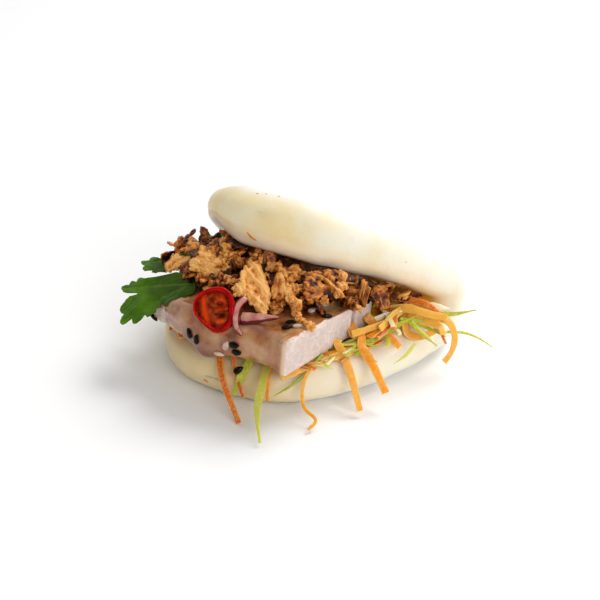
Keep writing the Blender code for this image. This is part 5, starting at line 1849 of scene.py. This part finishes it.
# %% Sesame materials
# Black sesame: a nearly black, satin hull with a brown cast, mottled over 1.2 mm.
black_finish, tree, shader = new_material(
    "black_sesame", Specular_IOR_Level=0.15, Roughness=0.22, IOR=1.47
)
coords = add(tree, "ShaderNodeTexCoord", output="Object")
mottle = add(tree, "ShaderNodeTexNoise", {"Vector": coords}, Scale=1 / (1.2 * MM))
hull = add(tree, "ShaderNodeValToRGB", {"Fac": mottle}, [(0.4, "030202"), (0.7, "120E0C")])
tree.links.new(hull, shader.inputs["Base Color"])
# White sesame: a cream hull that the sauce has wetted.
white_finish, tree, shader = new_material(
    "white_sesame", Roughness=0.30, IOR=1.47, Subsurface_Weight=0.2, Subsurface_Scale=0.6 * MM
)
coords = add(tree, "ShaderNodeTexCoord", output="Object")
mottle = add(tree, "ShaderNodeTexNoise", {"Vector": coords}, Scale=1 / (1.2 * MM))
hull = add(tree, "ShaderNodeValToRGB", {"Fac": mottle}, [(0.4, "B49A84"), (0.7, "D8C4AE")])
tree.links.new(hull, shader.inputs["Base Color"])
print("sesame materials ready")

# %% Seeds read off the picture
# Each: its pixel, and its heading there in degrees.
BLACK_SEEDS = (
    ((154.5, 316.5), 75), ((190, 333), 115), ((234.5, 345), 5), ((237, 352), 10), ((287, 328), 25),
    ((291, 323), 0), ((327, 317), 25), ((320.5, 312.5), -20), ((366, 300), 80), ((197, 339), 60),
)
WHITE_SEEDS = (((226.5, 345), 60), ((219.5, 353), 10), ((313, 311), 20), ((325, 305), 35), ((298, 327), 10))
seeds_at(BLACK_SEEDS, "black_sesame_seeds", black_finish)
seeds_at(WHITE_SEEDS, "white_sesame_seeds", white_finish)
hanging_seed = bmesh.new()
seed_place = seen_on_plane((238.5, 370), Vector((11.8, -41.5, 13.5)) * MM, back)
seed_place = push_out(seed_place, bun_surface, 1.9 * MM)
add_shape(hanging_seed, sesame_seed(seed_place, back, view_right * 0.8 + view_up * 0.5))
finish_piece("black_sesame_on_greens", hanging_seed, black_finish, ("slaw",))

# %% Specks on the dough
# Each: its pixel, its length and width in mm, and its heading in degrees.
SPECKS = (
    ((251.5, 236.5), 4.6, 0.9, -32), ((257.5, 193.6), 1.0, 0.7, 0), ((266.4, 193.9), 0.8, 0.6, 20),
    ((279, 196.4), 1.0, 0.6, 10), ((406, 262), 0.6, 0.4, 60), ((206, 380.5), 1.8, 0.8, -25),
)


def make_specks():
    """Small bent splinters, pressed flat on the dough."""
    total = bmesh.new()
    for pixel, length, width, turn in SPECKS:
        spot, normal = seen_on(pixel, (bun_surface,), (0, 0, 50))
        angle = math.radians(turn)
        along = view_right * math.cos(angle) + view_up * math.sin(angle)
        along = (along - normal * along.dot(normal)).normalized()
        axes = Matrix((along, normal.cross(along), normal)).transposed()
        bm = bmesh.new()
        bmesh.ops.create_icosphere(bm, subdivisions=3, radius=1)
        for vertex in bm.verts:
            x, y, z = vertex.co
            bent = y * width / 2 + 0.12 * length * (x * x - 0.5)
            vertex.co = spot + axes @ Vector((x * length / 2, bent, z * 0.16 + 0.08)) * MM
        add_shape(total, bm, tint=0.45 if length > 1.5 else 0.9)
    return finish_piece("specks_on_dough", total, carrot_finish, ())


make_specks()
